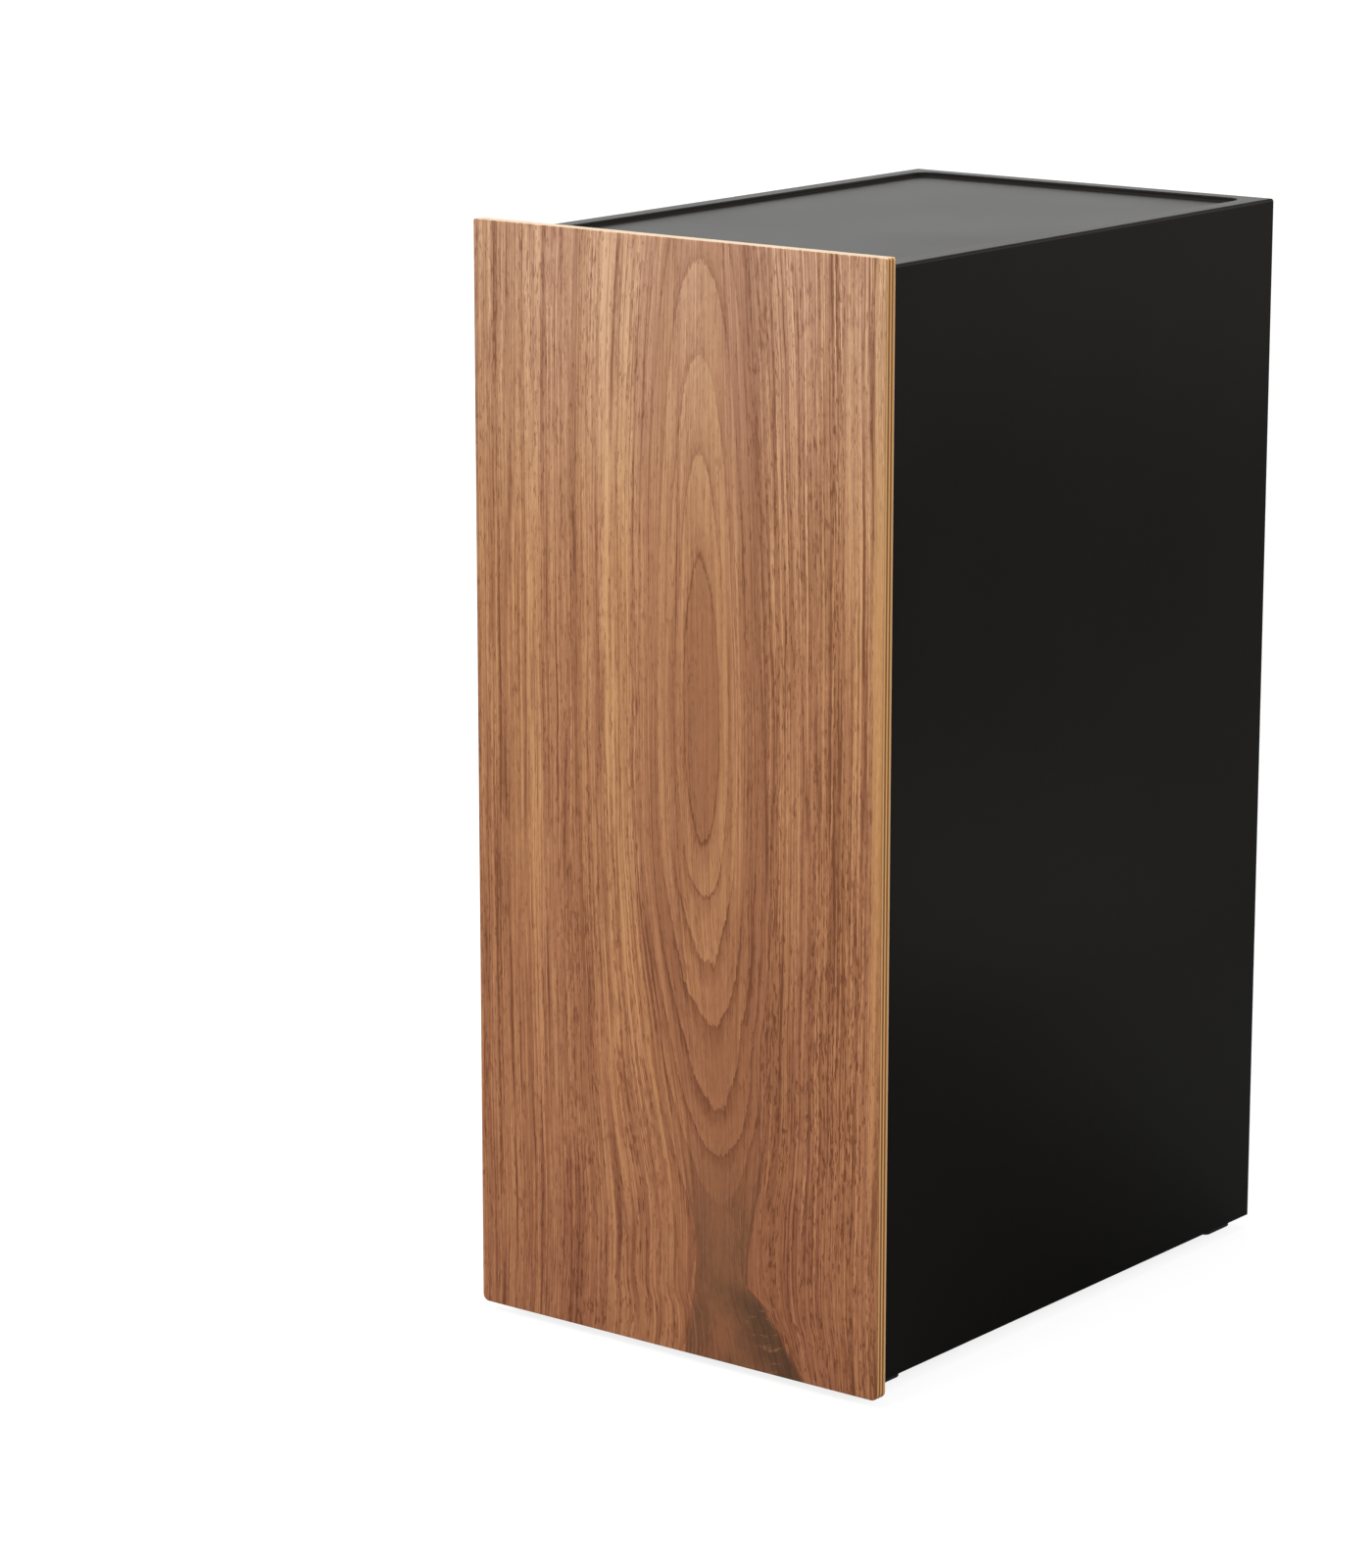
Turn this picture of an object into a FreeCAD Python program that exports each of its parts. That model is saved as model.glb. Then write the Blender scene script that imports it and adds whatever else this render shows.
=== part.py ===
import FreeCAD, Part
import math
import os

from FreeCAD import Vector

# Pull-out side cabinet: a folded steel case on four feet, and inside it a tall carrier with a plywood front
# that rolls out to the front on three full-extension ball slides.  Millimetres.  +X is to the right, the
# front faces -Y, +Z is up, and the origin is on the floor under the middle of the whole cabinet.

# ---- driving sizes: plywood front -------------------------------------------------------------------------
PANEL_WIDTH = 320.0
PANEL_HEIGHT = 714.0
PANEL_THICKNESS = 9.0
PANEL_TOP_CORNER = 1.5        # corner radii
PANEL_FOOT_CORNER = 4.5
PANEL_FLOOR_GAP = 6.0
SIDE_OVERHANG = 15.0          # front past the case, each side
TOP_OVERHANG = 8.0            # front above the case
BOTTOM_OVERHANG = 3.0         # front below the case
SCREW_HALF_SPACING = 90.0     # panel screws, from the middle
SCREW_BOTTOM_INSET = 104.0    # lowest and highest panel screws, from the ends of the front
SCREW_TOP_INSET = 80.0
SCREW_RADIUS = 2.0
SCREW_HEAD_RADIUS = 4.0
SCREW_HEAD_HEIGHT = 2.4
SCREW_BITE = 6.5              # how far a screw goes into the plywood
SCREW_FIT = 0.05              # radial room round a screw in its pilot hole
SCREW_HOLE_ROOM = 0.3         # radial room round a screw in sheet

# ---- driving sizes: steel case ----------------------------------------------------------------------------
CASE_DEPTH = 447.0
FRONT_GAP = 3.0               # between the case and the plywood
CASE_SHEET = 1.2
BEND_RADIUS = 2.0             # outside radius of every fold
RETURN_WIDTH = 12.0           # folded returns round the front and back openings
RIM_WIDTH = 14.0
RECESS_DEPTH = 3.0
RECESS_CORNER_RADIUS = 12.0
BACK_SHEET = 1.0
BASE_FLANGE_HEIGHT = 12.0
POST_DEPTH = 11.0
POST_SHEET = 1.0
POST_CROWN = 34.0
POST_FLANGE = 10.0
POST_SETBACK = 40.0           # post middle, from each end of the slides
BRIDGE_DEPTH = 12.0           # cross channels under the top
BUMPER_SIDE = 10.0
BUMPER_INSET = 60.0           # bumpers, from the case's top and bottom edges
BUMPER_SQUEEZE_GAP = 0.3      # between a bumper and the closed front

# ---- driving sizes: feet and counterweight -----------------------------------------------------------------
FOOT_SIDE = 30.0
FOOT_CORNER_BEVEL = 2.5
FOOT_SIDE_INSET = 11.0
FOOT_REAR_INSET = 6.0
FOOT_FRONT_INSET = 20.0
FOOT_STUD_RADIUS = 4.0
FOOT_STUD_RISE = 14.0
FOOT_NUT_WIDTH = 13.0         # across flats
FOOT_NUT_HEIGHT = 6.5
STUD_FIT = 0.05
WEIGHT_THICKNESS = 28.0
WEIGHT_HEIGHT = 100.0
WEIGHT_END_GAP = 4.0

# ---- driving sizes: ball slides ----------------------------------------------------------------------------
SLIDE_SETBACK = 3.5           # slide ends, from the case's front edge
SLIDE_REAR_SPACE = 43.5       # and from its back edge
SLIDE_HEIGHT = 45.5
SLIDE_THICKNESS = 12.7
RAIL_SHEET = 1.2
RAIL_FOLD_RADIUS = 0.5        # inside radius
OUTER_RAIL_DEPTH = 9.7
OUTER_RAIL_LIP = 2.5
CAGE_SHEET = 0.5
CAGE_PLAY = 0.35
CAGE_LIP_ROOM = 0.5
CAGE_END_ROOM = 6.0           # left at each end of a cage when the slide is fully out
BALL_DIAMETER = 3.2
BALL_POCKET = 3.6
POCKETS_PER_ROW = 5
STOP_LENGTH = 8.0
STOP_GAP = 0.5
LUG_WIDTH = 10.0
LUG_SLOT_HALF = 6.0           # half the height of the slot a lug drops into
LUG_DROP = 5.0                # how far a lug hooks past the slot's edge
LUG_ROOM = 0.4

# ---- driving sizes: carrier --------------------------------------------------------------------------------
CARRIER_SHEET = 1.5
CARRIER_FLOOR_GAP = 3.0       # carrier above the case's front flange
CARRIER_REAR_GAP = 2.5        # carrier's rear plate behind the slides
PLATE_FLANGE = 15.0
TRAY_HEIGHT = 56.0
SLIDE_LIFT = 6.0              # lower slides above the carrier's underside
TOP_RAIL_WIDTH = 50.0
TOP_RAIL_HEIGHT = 15.0
SHELF_SHEET = 1.2
SHELF_HEIGHT = 30.0
SHELF_SIDE_GAP = 0.6
SHELF_END_GAP = 0.3
TAB_WIDTH = 16.0
TAB_SIDE_OFFSET = 60.0        # shelf tabs, from the middle
SLOT_ROOM = 0.4
SLOT_PITCH = 50.0
SLOT_FIRST = 126.0            # lowest slot, above the carrier's underside
SLOT_TOP_ROOM = 25.0          # least height above the highest slot
ROWS_BELOW_LOWER_SHELF = 2
ROWS_BELOW_UPPER_SHELF = 6

# ---- places worked out from them ----------------------------------------------------------------------------
OVERALL_DEPTH = PANEL_THICKNESS + FRONT_GAP + CASE_DEPTH
PANEL_FRONT = -OVERALL_DEPTH / 2
PANEL_BACK = PANEL_FRONT + PANEL_THICKNESS
PANEL_TOP = PANEL_FLOOR_GAP + PANEL_HEIGHT

CASE_HALF = PANEL_WIDTH / 2 - SIDE_OVERHANG
CASE_FRONT = PANEL_BACK + FRONT_GAP
CASE_BACK = CASE_FRONT + CASE_DEPTH
CASE_BOTTOM = PANEL_FLOOR_GAP + BOTTOM_OVERHANG
CASE_TOP = PANEL_TOP - TOP_OVERHANG
INNER_HALF = CASE_HALF - CASE_SHEET
BACK_PANEL_FRONT = CASE_BACK - CASE_SHEET - BACK_SHEET
BASE_TOP = CASE_BOTTOM + CASE_SHEET
RECESS_UNDERSIDE = CASE_TOP - RECESS_DEPTH - CASE_SHEET
BRIDGE_BOTTOM = RECESS_UNDERSIDE - BRIDGE_DEPTH

SLIDE_FRONT = CASE_FRONT + SLIDE_SETBACK
SLIDE_BACK = CASE_BACK - SLIDE_REAR_SPACE
SLIDE_LENGTH = SLIDE_BACK - SLIDE_FRONT
SLIDE_MOVING_LENGTH = SLIDE_LENGTH - STOP_LENGTH - STOP_GAP
SLIDE_WALL = INNER_HALF - POST_DEPTH
POST_PLACES = (SLIDE_FRONT + POST_SETBACK, SLIDE_BACK - POST_SETBACK)
LUG_PLACES = (POST_SETBACK, SLIDE_LENGTH - POST_SETBACK)

CARRIER_HALF = SLIDE_WALL - SLIDE_THICKNESS
CARRIER_BOTTOM = CASE_BOTTOM + BASE_FLANGE_HEIGHT + CARRIER_FLOOR_GAP
CARRIER_TOP = BRIDGE_BOTTOM - SLIDE_THICKNESS
PLATE_BACK = PANEL_BACK + CARRIER_SHEET
REAR_PLATE_FRONT = SLIDE_BACK + CARRIER_REAR_GAP
LOWER_SLIDE_LEVEL = CARRIER_BOTTOM + SLIDE_LIFT + SLIDE_HEIGHT / 2
SLOT_SPAN = CARRIER_TOP - SLOT_TOP_ROOM - CARRIER_BOTTOM - SLOT_FIRST
SLOT_ROWS = 1 + int(SLOT_SPAN / SLOT_PITCH)

parts = {}


# ---- general shapes -----------------------------------------------------------------------------------------
def block(x0, x1, y0, y1, z0, z1):
    return Part.makeBox(x1 - x0, y1 - y0, z1 - z0, Vector(x0, y0, z0))


def cylinder(radius, start, direction, length):
    return Part.makeCylinder(radius, length, start, direction)


def hexagon(across_flats, start, height):
    """Upright hexagonal prism."""
    corner = across_flats / math.sqrt(3)
    turns = [math.radians(60 * k) for k in range(7)]
    rim = [Vector(start.x + corner * math.cos(a), start.y + corner * math.sin(a), start.z) for a in turns]
    return Part.Face(Part.makePolygon(rim)).extrude(Vector(0, 0, height))


def edges_along(shape, axis, keep=lambda middle: True):
    """Straight edges parallel to an axis whose middle passes a test."""
    chosen = []
    for edge in shape.Edges:
        run = edge.Vertexes[-1].Point - edge.Vertexes[0].Point
        if run.Length > 1e-6 and abs(abs(run.normalize().dot(axis)) - 1) < 1e-6 and keep(edge.CenterOfMass):
            chosen.append(edge)
    return chosen


X_AXIS, Y_AXIS, Z_AXIS = Vector(1, 0, 0), Vector(0, 1, 0), Vector(0, 0, 1)


def rounded_block(x0, x1, y0, y1, z0, z1, radius):
    """Block with its four upright edges rounded."""
    solid = block(x0, x1, y0, y1, z0, z1)
    return solid.makeFillet(radius, edges_along(solid, Z_AXIS))


def folded_block(x0, x1, y0, y1, z0, z1, radius, closed):
    """Block with its two long edges, along Y at the closed end, rounded as folds are."""
    solid = block(x0, x1, y0, y1, z0, z1)
    return solid.makeFillet(radius, edges_along(solid, Y_AXIS, lambda middle: abs(middle.z - closed) < 1e-6))


def pan(x0, x1, y0, y1, z0, height, sheet):
    """Folded tray: the sides are bent up from the floor and the ends are let in between them."""
    top = z0 + height
    outside = folded_block(x0, x1, y0, y1, z0, top, BEND_RADIUS, z0)
    inside = folded_block(x0 + sheet, x1 - sheet, y0 + sheet, y1 - sheet, z0 + sheet, top + sheet,
                          BEND_RADIUS - sheet, z0 + sheet)
    return outside.cut(inside)


def rounded_line(points, radii):
    """Straight runs joined by tangent arcs; radii has one value for each inner corner, 0 for a sharp one."""
    edges = []
    start = points[0]
    for corner, after, radius in zip(points[1:-1], points[2:], radii):
        if radius == 0:
            edges.append(Part.LineSegment(start, corner).toShape())
            start = corner
            continue
        back = (start - corner).normalize()
        ahead = (after - corner).normalize()
        half_angle = back.getAngle(ahead) / 2
        reach = radius / math.tan(half_angle)
        middle_line = (back + ahead).normalize()
        middle = corner + middle_line * (radius / math.sin(half_angle) - radius)
        arc_start = corner + back * reach
        arc_end = corner + ahead * reach
        edges.append(Part.LineSegment(start, arc_start).toShape())
        edges.append(Part.Arc(arc_start, middle, arc_end).toShape())
        start = arc_end
    edges.append(Part.LineSegment(start, points[-1]).toShape())
    return edges


def folded_section(outline, sheet, inside_radii):
    """Face of a strip of sheet folded along a line; the sheet lies on the left of the line.

    inside_radii has one value for each fold, or None for a fold left sharp.
    """
    skin = [Vector(u, v, 0) for u, v in outline]
    runs = [(b - a).normalize() for a, b in zip(skin, skin[1:])]
    lefts = [Vector(-run.y, run.x, 0) for run in runs]
    other = [skin[0] + lefts[0] * sheet]
    skin_radii, other_radii = [], []
    for corner, before, after, inside in zip(skin[1:-1], lefts, lefts[1:], inside_radii):
        mitre = before + after
        other.append(corner + mitre * (2 * sheet / mitre.Length ** 2))
        tight, wide = (0, 0) if inside is None else (inside, inside + sheet)
        turns_left = before.cross(after).z > 0
        skin_radii.append(wide if turns_left else tight)
        other_radii.append(tight if turns_left else wide)
    other.append(skin[-1] + lefts[-1] * sheet)
    edges = rounded_line(skin, skin_radii)
    edges.append(Part.LineSegment(skin[-1], other[-1]).toShape())
    edges += rounded_line(other[::-1], other_radii[::-1])
    edges.append(Part.LineSegment(other[0], skin[0]).toShape())
    return Part.Face(Part.Wire(edges))


def placed(shape, origin, u_axis, v_axis):
    """Turn a shape drawn with u along X and v along Y so that they lie along two given axes."""
    w_axis = u_axis.cross(v_axis)
    turn = FreeCAD.Matrix(u_axis.x, v_axis.x, w_axis.x, origin.x,
                          u_axis.y, v_axis.y, w_axis.y, origin.y,
                          u_axis.z, v_axis.z, w_axis.z, origin.z)
    moved = shape.copy()
    moved.Placement = FreeCAD.Placement(turn)
    return moved


def mirrored(shape):
    """The matching piece on the other side of the cabinet."""
    return shape.mirror(Vector(0, 0, 0), X_AXIS)


def put(name, shape):
    """Keep a finished piece, or a group of like pieces, under its name."""
    parts[name] = shape.removeSplitter()


def put_group(name, solids):
    parts[name] = Part.makeCompound(solids)


# ---- plywood front ------------------------------------------------------------------------------------------
def screw_places():
    rows = (PANEL_FLOOR_GAP + SCREW_BOTTOM_INSET, PANEL_FLOOR_GAP + PANEL_HEIGHT / 2,
            PANEL_TOP - SCREW_TOP_INSET)
    return [(x, z) for z in rows for x in (-SCREW_HALF_SPACING, SCREW_HALF_SPACING)]


def plywood_front():
    board = block(-PANEL_WIDTH / 2, PANEL_WIDTH / 2, PANEL_FRONT, PANEL_BACK, PANEL_FLOOR_GAP, PANEL_TOP)
    middle_level = PANEL_FLOOR_GAP + PANEL_HEIGHT / 2
    top_corners = edges_along(board, Y_AXIS, lambda middle: middle.z > middle_level)
    board = board.makeFillet(PANEL_TOP_CORNER, top_corners)
    foot_corners = edges_along(board, Y_AXIS, lambda middle: middle.z < middle_level)
    board = board.makeFillet(PANEL_FOOT_CORNER, foot_corners)
    for x, z in screw_places():
        pilot = cylinder(SCREW_RADIUS + SCREW_FIT, Vector(x, PANEL_BACK, z), -Y_AXIS, SCREW_BITE + SCREW_FIT)
        board = board.cut(pilot)
    return board


def panel_screws():
    """Screws driven from inside the carrier through its front plate into the plywood."""
    screws = []
    for x, z in screw_places():
        head = cylinder(SCREW_HEAD_RADIUS, Vector(x, PLATE_BACK, z), Y_AXIS, SCREW_HEAD_HEIGHT)
        shank = cylinder(SCREW_RADIUS, Vector(x, PLATE_BACK, z), -Y_AXIS, CARRIER_SHEET + SCREW_BITE)
        screws.append(head.fuse(shank))
    return screws


# ---- steel case ---------------------------------------------------------------------------------------------
def case_wrap():
    """Sides and top in one folded sheet, with returns round both openings and a pressed tray in the top."""
    outside = block(-CASE_HALF, CASE_HALF, CASE_FRONT, CASE_BACK, CASE_BOTTOM, CASE_TOP)
    at_top = lambda middle: abs(middle.z - CASE_TOP) < 1e-6
    folds = edges_along(outside, Z_AXIS)
    folds += edges_along(outside, X_AXIS, at_top)
    folds += edges_along(outside, Y_AXIS, at_top)
    outside = outside.makeFillet(BEND_RADIUS, folds)
    below = CASE_BOTTOM - CASE_SHEET
    inside = folded_block(-INNER_HALF, INNER_HALF, CASE_FRONT + CASE_SHEET, CASE_BACK - CASE_SHEET,
                          below, CASE_TOP - CASE_SHEET, BEND_RADIUS - CASE_SHEET, CASE_TOP - CASE_SHEET)
    shell = outside.cut(inside)
    recess_half = CASE_HALF - RIM_WIDTH
    recess_front = CASE_FRONT + RIM_WIDTH
    recess_back = CASE_BACK - RIM_WIDTH
    boss = rounded_block(-recess_half - CASE_SHEET, recess_half + CASE_SHEET, recess_front - CASE_SHEET,
                         recess_back + CASE_SHEET, RECESS_UNDERSIDE, CASE_TOP - CASE_SHEET / 2,
                         RECESS_CORNER_RADIUS + CASE_SHEET)
    tray = rounded_block(-recess_half, recess_half, recess_front, recess_back,
                         CASE_TOP - RECESS_DEPTH, CASE_TOP + CASE_SHEET, RECESS_CORNER_RADIUS)
    shell = shell.fuse(boss).cut(tray)
    opening_half = CASE_HALF - RETURN_WIDTH
    opening_top = CASE_TOP - RETURN_WIDTH
    for wall_front in (CASE_FRONT, CASE_BACK - CASE_SHEET):
        shell = shell.cut(block(-opening_half, opening_half, wall_front - CASE_SHEET,
                                wall_front + 2 * CASE_SHEET, below, opening_top))
    return shell


def back_panel():
    return block(-INNER_HALF, INNER_HALF, BACK_PANEL_FRONT, BACK_PANEL_FRONT + BACK_SHEET,
                 CASE_BOTTOM, CASE_TOP - CASE_SHEET - BEND_RADIUS)


def foot_places():
    """Foot middles, front left first, then front right, rear left and rear right."""
    x = CASE_HALF - FOOT_SIDE_INSET - FOOT_SIDE / 2
    front = CASE_FRONT + FOOT_FRONT_INSET + FOOT_SIDE / 2
    back = CASE_BACK - FOOT_REAR_INSET - FOOT_SIDE / 2
    return [(-x, front), (x, front), (-x, back), (x, back)]


def base_pan():
    """Floor of the case, with a hole over each foot."""
    floor = pan(-INNER_HALF, INNER_HALF, CASE_FRONT + CASE_SHEET, BACK_PANEL_FRONT, CASE_BOTTOM,
                BASE_FLANGE_HEIGHT, CASE_SHEET)
    for x, y in foot_places():
        floor = floor.cut(cylinder(FOOT_STUD_RADIUS + SCREW_HOLE_ROOM, Vector(x, y, 0), Z_AXIS, 2 * BASE_TOP))
    return floor


def hat_section(depth, sheet):
    """Section of a hat channel: u across it and v from its feet to its crown."""
    crown, foot = POST_CROWN / 2, POST_CROWN / 2 + POST_FLANGE
    outline = [(foot, sheet), (crown, sheet), (crown, depth), (-crown, depth), (-crown, sheet), (-foot, sheet)]
    return folded_section(outline, sheet, [None] * 4)


def side_post(place):
    """Upright hat channel welded inside the right side; a slide hooks into the slot in its crown."""
    low = CASE_BOTTOM + BASE_FLANGE_HEIGHT + CASE_SHEET
    channel = hat_section(POST_DEPTH, POST_SHEET).extrude(Vector(0, 0, BRIDGE_BOTTOM - low))
    post = placed(channel, Vector(INNER_HALF, place, low), Y_AXIS, -X_AXIS)
    slot = block(SLIDE_WALL - POST_SHEET, SLIDE_WALL + 2 * POST_SHEET,
                 place - LUG_WIDTH / 2 - LUG_ROOM, place + LUG_WIDTH / 2 + LUG_ROOM,
                 LOWER_SLIDE_LEVEL - LUG_SLOT_HALF, LOWER_SLIDE_LEVEL + LUG_SLOT_HALF)
    return post.cut(slot)


def bridge(place):
    """Hat channel across the case under the top, which carries the upper slide."""
    channel = hat_section(BRIDGE_DEPTH, POST_SHEET).extrude(Vector(0, 0, 2 * INNER_HALF))
    beam = placed(channel, Vector(INNER_HALF, place, RECESS_UNDERSIDE), Y_AXIS, -Z_AXIS)
    slot = block(-LUG_SLOT_HALF, LUG_SLOT_HALF,
                 place - LUG_WIDTH / 2 - LUG_ROOM, place + LUG_WIDTH / 2 + LUG_ROOM,
                 BRIDGE_BOTTOM - POST_SHEET, BRIDGE_BOTTOM + 2 * POST_SHEET)
    return beam.cut(slot)


def bumpers():
    """Four soft pads on the front returns that the plywood closes against."""
    x = CASE_HALF - RETURN_WIDTH / 2
    levels = (CASE_BOTTOM + BUMPER_INSET, CASE_TOP - BUMPER_INSET)
    half = BUMPER_SIDE / 2
    return [block(side * x - half, side * x + half, PANEL_BACK + BUMPER_SQUEEZE_GAP, CASE_FRONT, z - half, z + half)
            for z in levels for side in (-1, 1)]


# ---- feet and counterweight ---------------------------------------------------------------------------------
def foot(x, y):
    """Moulded foot on a threaded stud."""
    half = FOOT_SIDE / 2
    pad = block(x - half, x + half, y - half, y + half, 0, CASE_BOTTOM)
    pad = pad.makeChamfer(FOOT_CORNER_BEVEL, edges_along(pad, Z_AXIS))
    return pad.fuse(cylinder(FOOT_STUD_RADIUS, Vector(x, y, CASE_BOTTOM), Z_AXIS, FOOT_STUD_RISE))


def foot_nuts():
    nuts = []
    for x, y in foot_places():
        blank = hexagon(FOOT_NUT_WIDTH, Vector(x, y, BASE_TOP), FOOT_NUT_HEIGHT)
        bore = cylinder(FOOT_STUD_RADIUS + STUD_FIT, Vector(x, y, BASE_TOP), Z_AXIS, FOOT_NUT_HEIGHT)
        nuts.append(blank.cut(bore))
    return nuts


def counterweight():
    """Steel block welded to the base behind the carrier, which keeps the cabinet from tipping forward."""
    foot_x = CASE_HALF - FOOT_SIDE_INSET - FOOT_SIDE / 2
    half = foot_x - FOOT_NUT_WIDTH / math.sqrt(3) - WEIGHT_END_GAP
    back = BACK_PANEL_FRONT - CASE_SHEET
    return block(-half, half, back - WEIGHT_THICKNESS, back, BASE_TOP, BASE_TOP + WEIGHT_HEIGHT)


# ---- ball slides --------------------------------------------------------------------------------------------
# Each slide is drawn in its own directions: u from the case to the carrier, v up and w from front to back.
OUTER_HALF = SLIDE_HEIGHT / 2
MIDDLE_HALF = OUTER_HALF - RAIL_SHEET - BALL_DIAMETER
INNER_RAIL_HALF = MIDDLE_HALF - RAIL_SHEET - BALL_DIAMETER
CAGE_SPACE = 2 * CAGE_PLAY + CAGE_SHEET
MIDDLE_WEB = RAIL_SHEET + CAGE_SPACE
MIDDLE_TIP = SLIDE_THICKNESS - RAIL_SHEET - CAGE_PLAY * 2
INNER_TIP = MIDDLE_WEB + RAIL_SHEET + CAGE_SPACE
OUTER_CAGE_TIP = OUTER_RAIL_DEPTH - RAIL_SHEET - CAGE_LIP_ROOM
INNER_CAGE_TIP = MIDDLE_TIP - CAGE_LIP_ROOM
TRAVEL = SLIDE_LENGTH
CAGE_LENGTH = SLIDE_MOVING_LENGTH - TRAVEL / 2 - 2 * CAGE_END_ROOM
CAGE_START = TRAVEL / 4 + CAGE_END_ROOM


def rolled(outline, sheet, inside_radii, start, length):
    """Rolled strip section, from start to start + length along the slide."""
    face = folded_section(outline, sheet, inside_radii)
    face.translate(Vector(0, 0, start))
    return face.extrude(Vector(0, 0, length))


def lug(web_face, outward, held_sheet, at):
    """Hook lanced out of a rail; it passes a slot in held_sheet and grips behind its edge."""
    far = web_face + outward * (held_sheet + LUG_ROOM + RAIL_SHEET)
    grip = web_face + outward * (held_sheet + LUG_ROOM)
    edge = outward * LUG_SLOT_HALF
    stem = sorted((edge, edge - outward * RAIL_SHEET))
    tail = sorted((edge + outward * LUG_DROP, edge - outward * RAIL_SHEET))
    near, beyond = at - LUG_WIDTH / 2, at + LUG_WIDTH / 2
    web = web_face - outward * RAIL_SHEET / 2
    solid = block(min(web, far), max(web, far), *stem, near, beyond)
    return solid.fuse(block(min(grip, far), max(grip, far), *tail, near, beyond))


def outer_rail():
    """Channel with turned-in lips, fixed to the case."""
    outline = [(OUTER_RAIL_DEPTH, OUTER_HALF - OUTER_RAIL_LIP), (OUTER_RAIL_DEPTH, OUTER_HALF),
               (0, OUTER_HALF), (0, -OUTER_HALF),
               (OUTER_RAIL_DEPTH, -OUTER_HALF), (OUTER_RAIL_DEPTH, OUTER_RAIL_LIP - OUTER_HALF)]
    rail = rolled(outline, RAIL_SHEET, [None, RAIL_FOLD_RADIUS, RAIL_FOLD_RADIUS, None], 0, SLIDE_LENGTH)
    for at in LUG_PLACES:
        rail = rail.fuse(lug(0, -1, POST_SHEET, at))
    return rail


def middle_rail():
    """Channel that runs between the two ball rows."""
    outline = [(MIDDLE_TIP, MIDDLE_HALF), (MIDDLE_WEB, MIDDLE_HALF),
               (MIDDLE_WEB, -MIDDLE_HALF), (MIDDLE_TIP, -MIDDLE_HALF)]
    return rolled(outline, RAIL_SHEET, [RAIL_FOLD_RADIUS] * 2, 0, SLIDE_MOVING_LENGTH)


def inner_rail():
    """Channel that faces the other way and is hooked into the carrier."""
    outline = [(INNER_TIP, -INNER_RAIL_HALF), (SLIDE_THICKNESS, -INNER_RAIL_HALF),
               (SLIDE_THICKNESS, INNER_RAIL_HALF), (INNER_TIP, INNER_RAIL_HALF)]
    rail = rolled(outline, RAIL_SHEET, [RAIL_FOLD_RADIUS] * 2, 0, SLIDE_MOVING_LENGTH)
    for at in LUG_PLACES:
        rail = rail.fuse(lug(SLIDE_THICKNESS, 1, CARRIER_SHEET, at))
    return rail


def ball_cage(web, tip, rail_half):
    """Thin strip that keeps two rows of balls apart, each in its own window."""
    half = rail_half + BALL_DIAMETER / 2 + CAGE_SHEET / 2
    outline = [(tip, half), (web, half), (web, -half), (tip, -half)]
    strip = rolled(outline, CAGE_SHEET, [None] * 2, CAGE_START, CAGE_LENGTH)
    middle = (web + CAGE_SHEET + tip) / 2
    pitch = CAGE_LENGTH / POCKETS_PER_ROW
    windows = []
    for k in range(POCKETS_PER_ROW):
        at = CAGE_START + (k + 0.5) * pitch
        windows.append(block(middle - BALL_POCKET / 2, middle + BALL_POCKET / 2, -2 * half, 2 * half,
                             at - BALL_POCKET / 2, at + BALL_POCKET / 2))
    return strip.cut(windows)


def slide_stop():
    """Moulded block in the back of the outer rail, where the closed slide comes to rest."""
    return block(RAIL_SHEET, OUTER_RAIL_DEPTH, -INNER_RAIL_HALF, INNER_RAIL_HALF,
                 SLIDE_LENGTH - STOP_LENGTH, SLIDE_LENGTH)


def slide_pieces():
    return {"outer_rail": outer_rail(),
            "middle_rail": middle_rail(),
            "inner_rail": inner_rail(),
            "outer_cage": ball_cage(RAIL_SHEET + CAGE_PLAY, OUTER_CAGE_TIP, MIDDLE_HALF),
            "inner_cage": ball_cage(MIDDLE_WEB + RAIL_SHEET + CAGE_PLAY, INNER_CAGE_TIP, INNER_RAIL_HALF),
            "stop": slide_stop()}


def on_right_wall(shape):
    return placed(shape, Vector(SLIDE_WALL, SLIDE_FRONT, LOWER_SLIDE_LEVEL), -X_AXIS, Z_AXIS)


def under_bridges(shape):
    return placed(shape, Vector(0, SLIDE_FRONT, BRIDGE_BOTTOM), -Z_AXIS, -X_AXIS)


# ---- carrier ------------------------------------------------------------------------------------------------
def tab_slots(y0, y1):
    """Cutters for the rows of slots that the shelves' tabs drop into."""
    cutters = []
    half = TAB_WIDTH / 2 + SLOT_ROOM
    for row in range(SLOT_ROWS):
        level = slot_level(row)
        for x in (-TAB_SIDE_OFFSET, TAB_SIDE_OFFSET):
            cutters.append(block(x - half, x + half, y0, y1, level, level + SHELF_SHEET + SLOT_ROOM))
    return cutters


def slot_level(row):
    return CARRIER_BOTTOM + SLOT_FIRST + row * SLOT_PITCH


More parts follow.
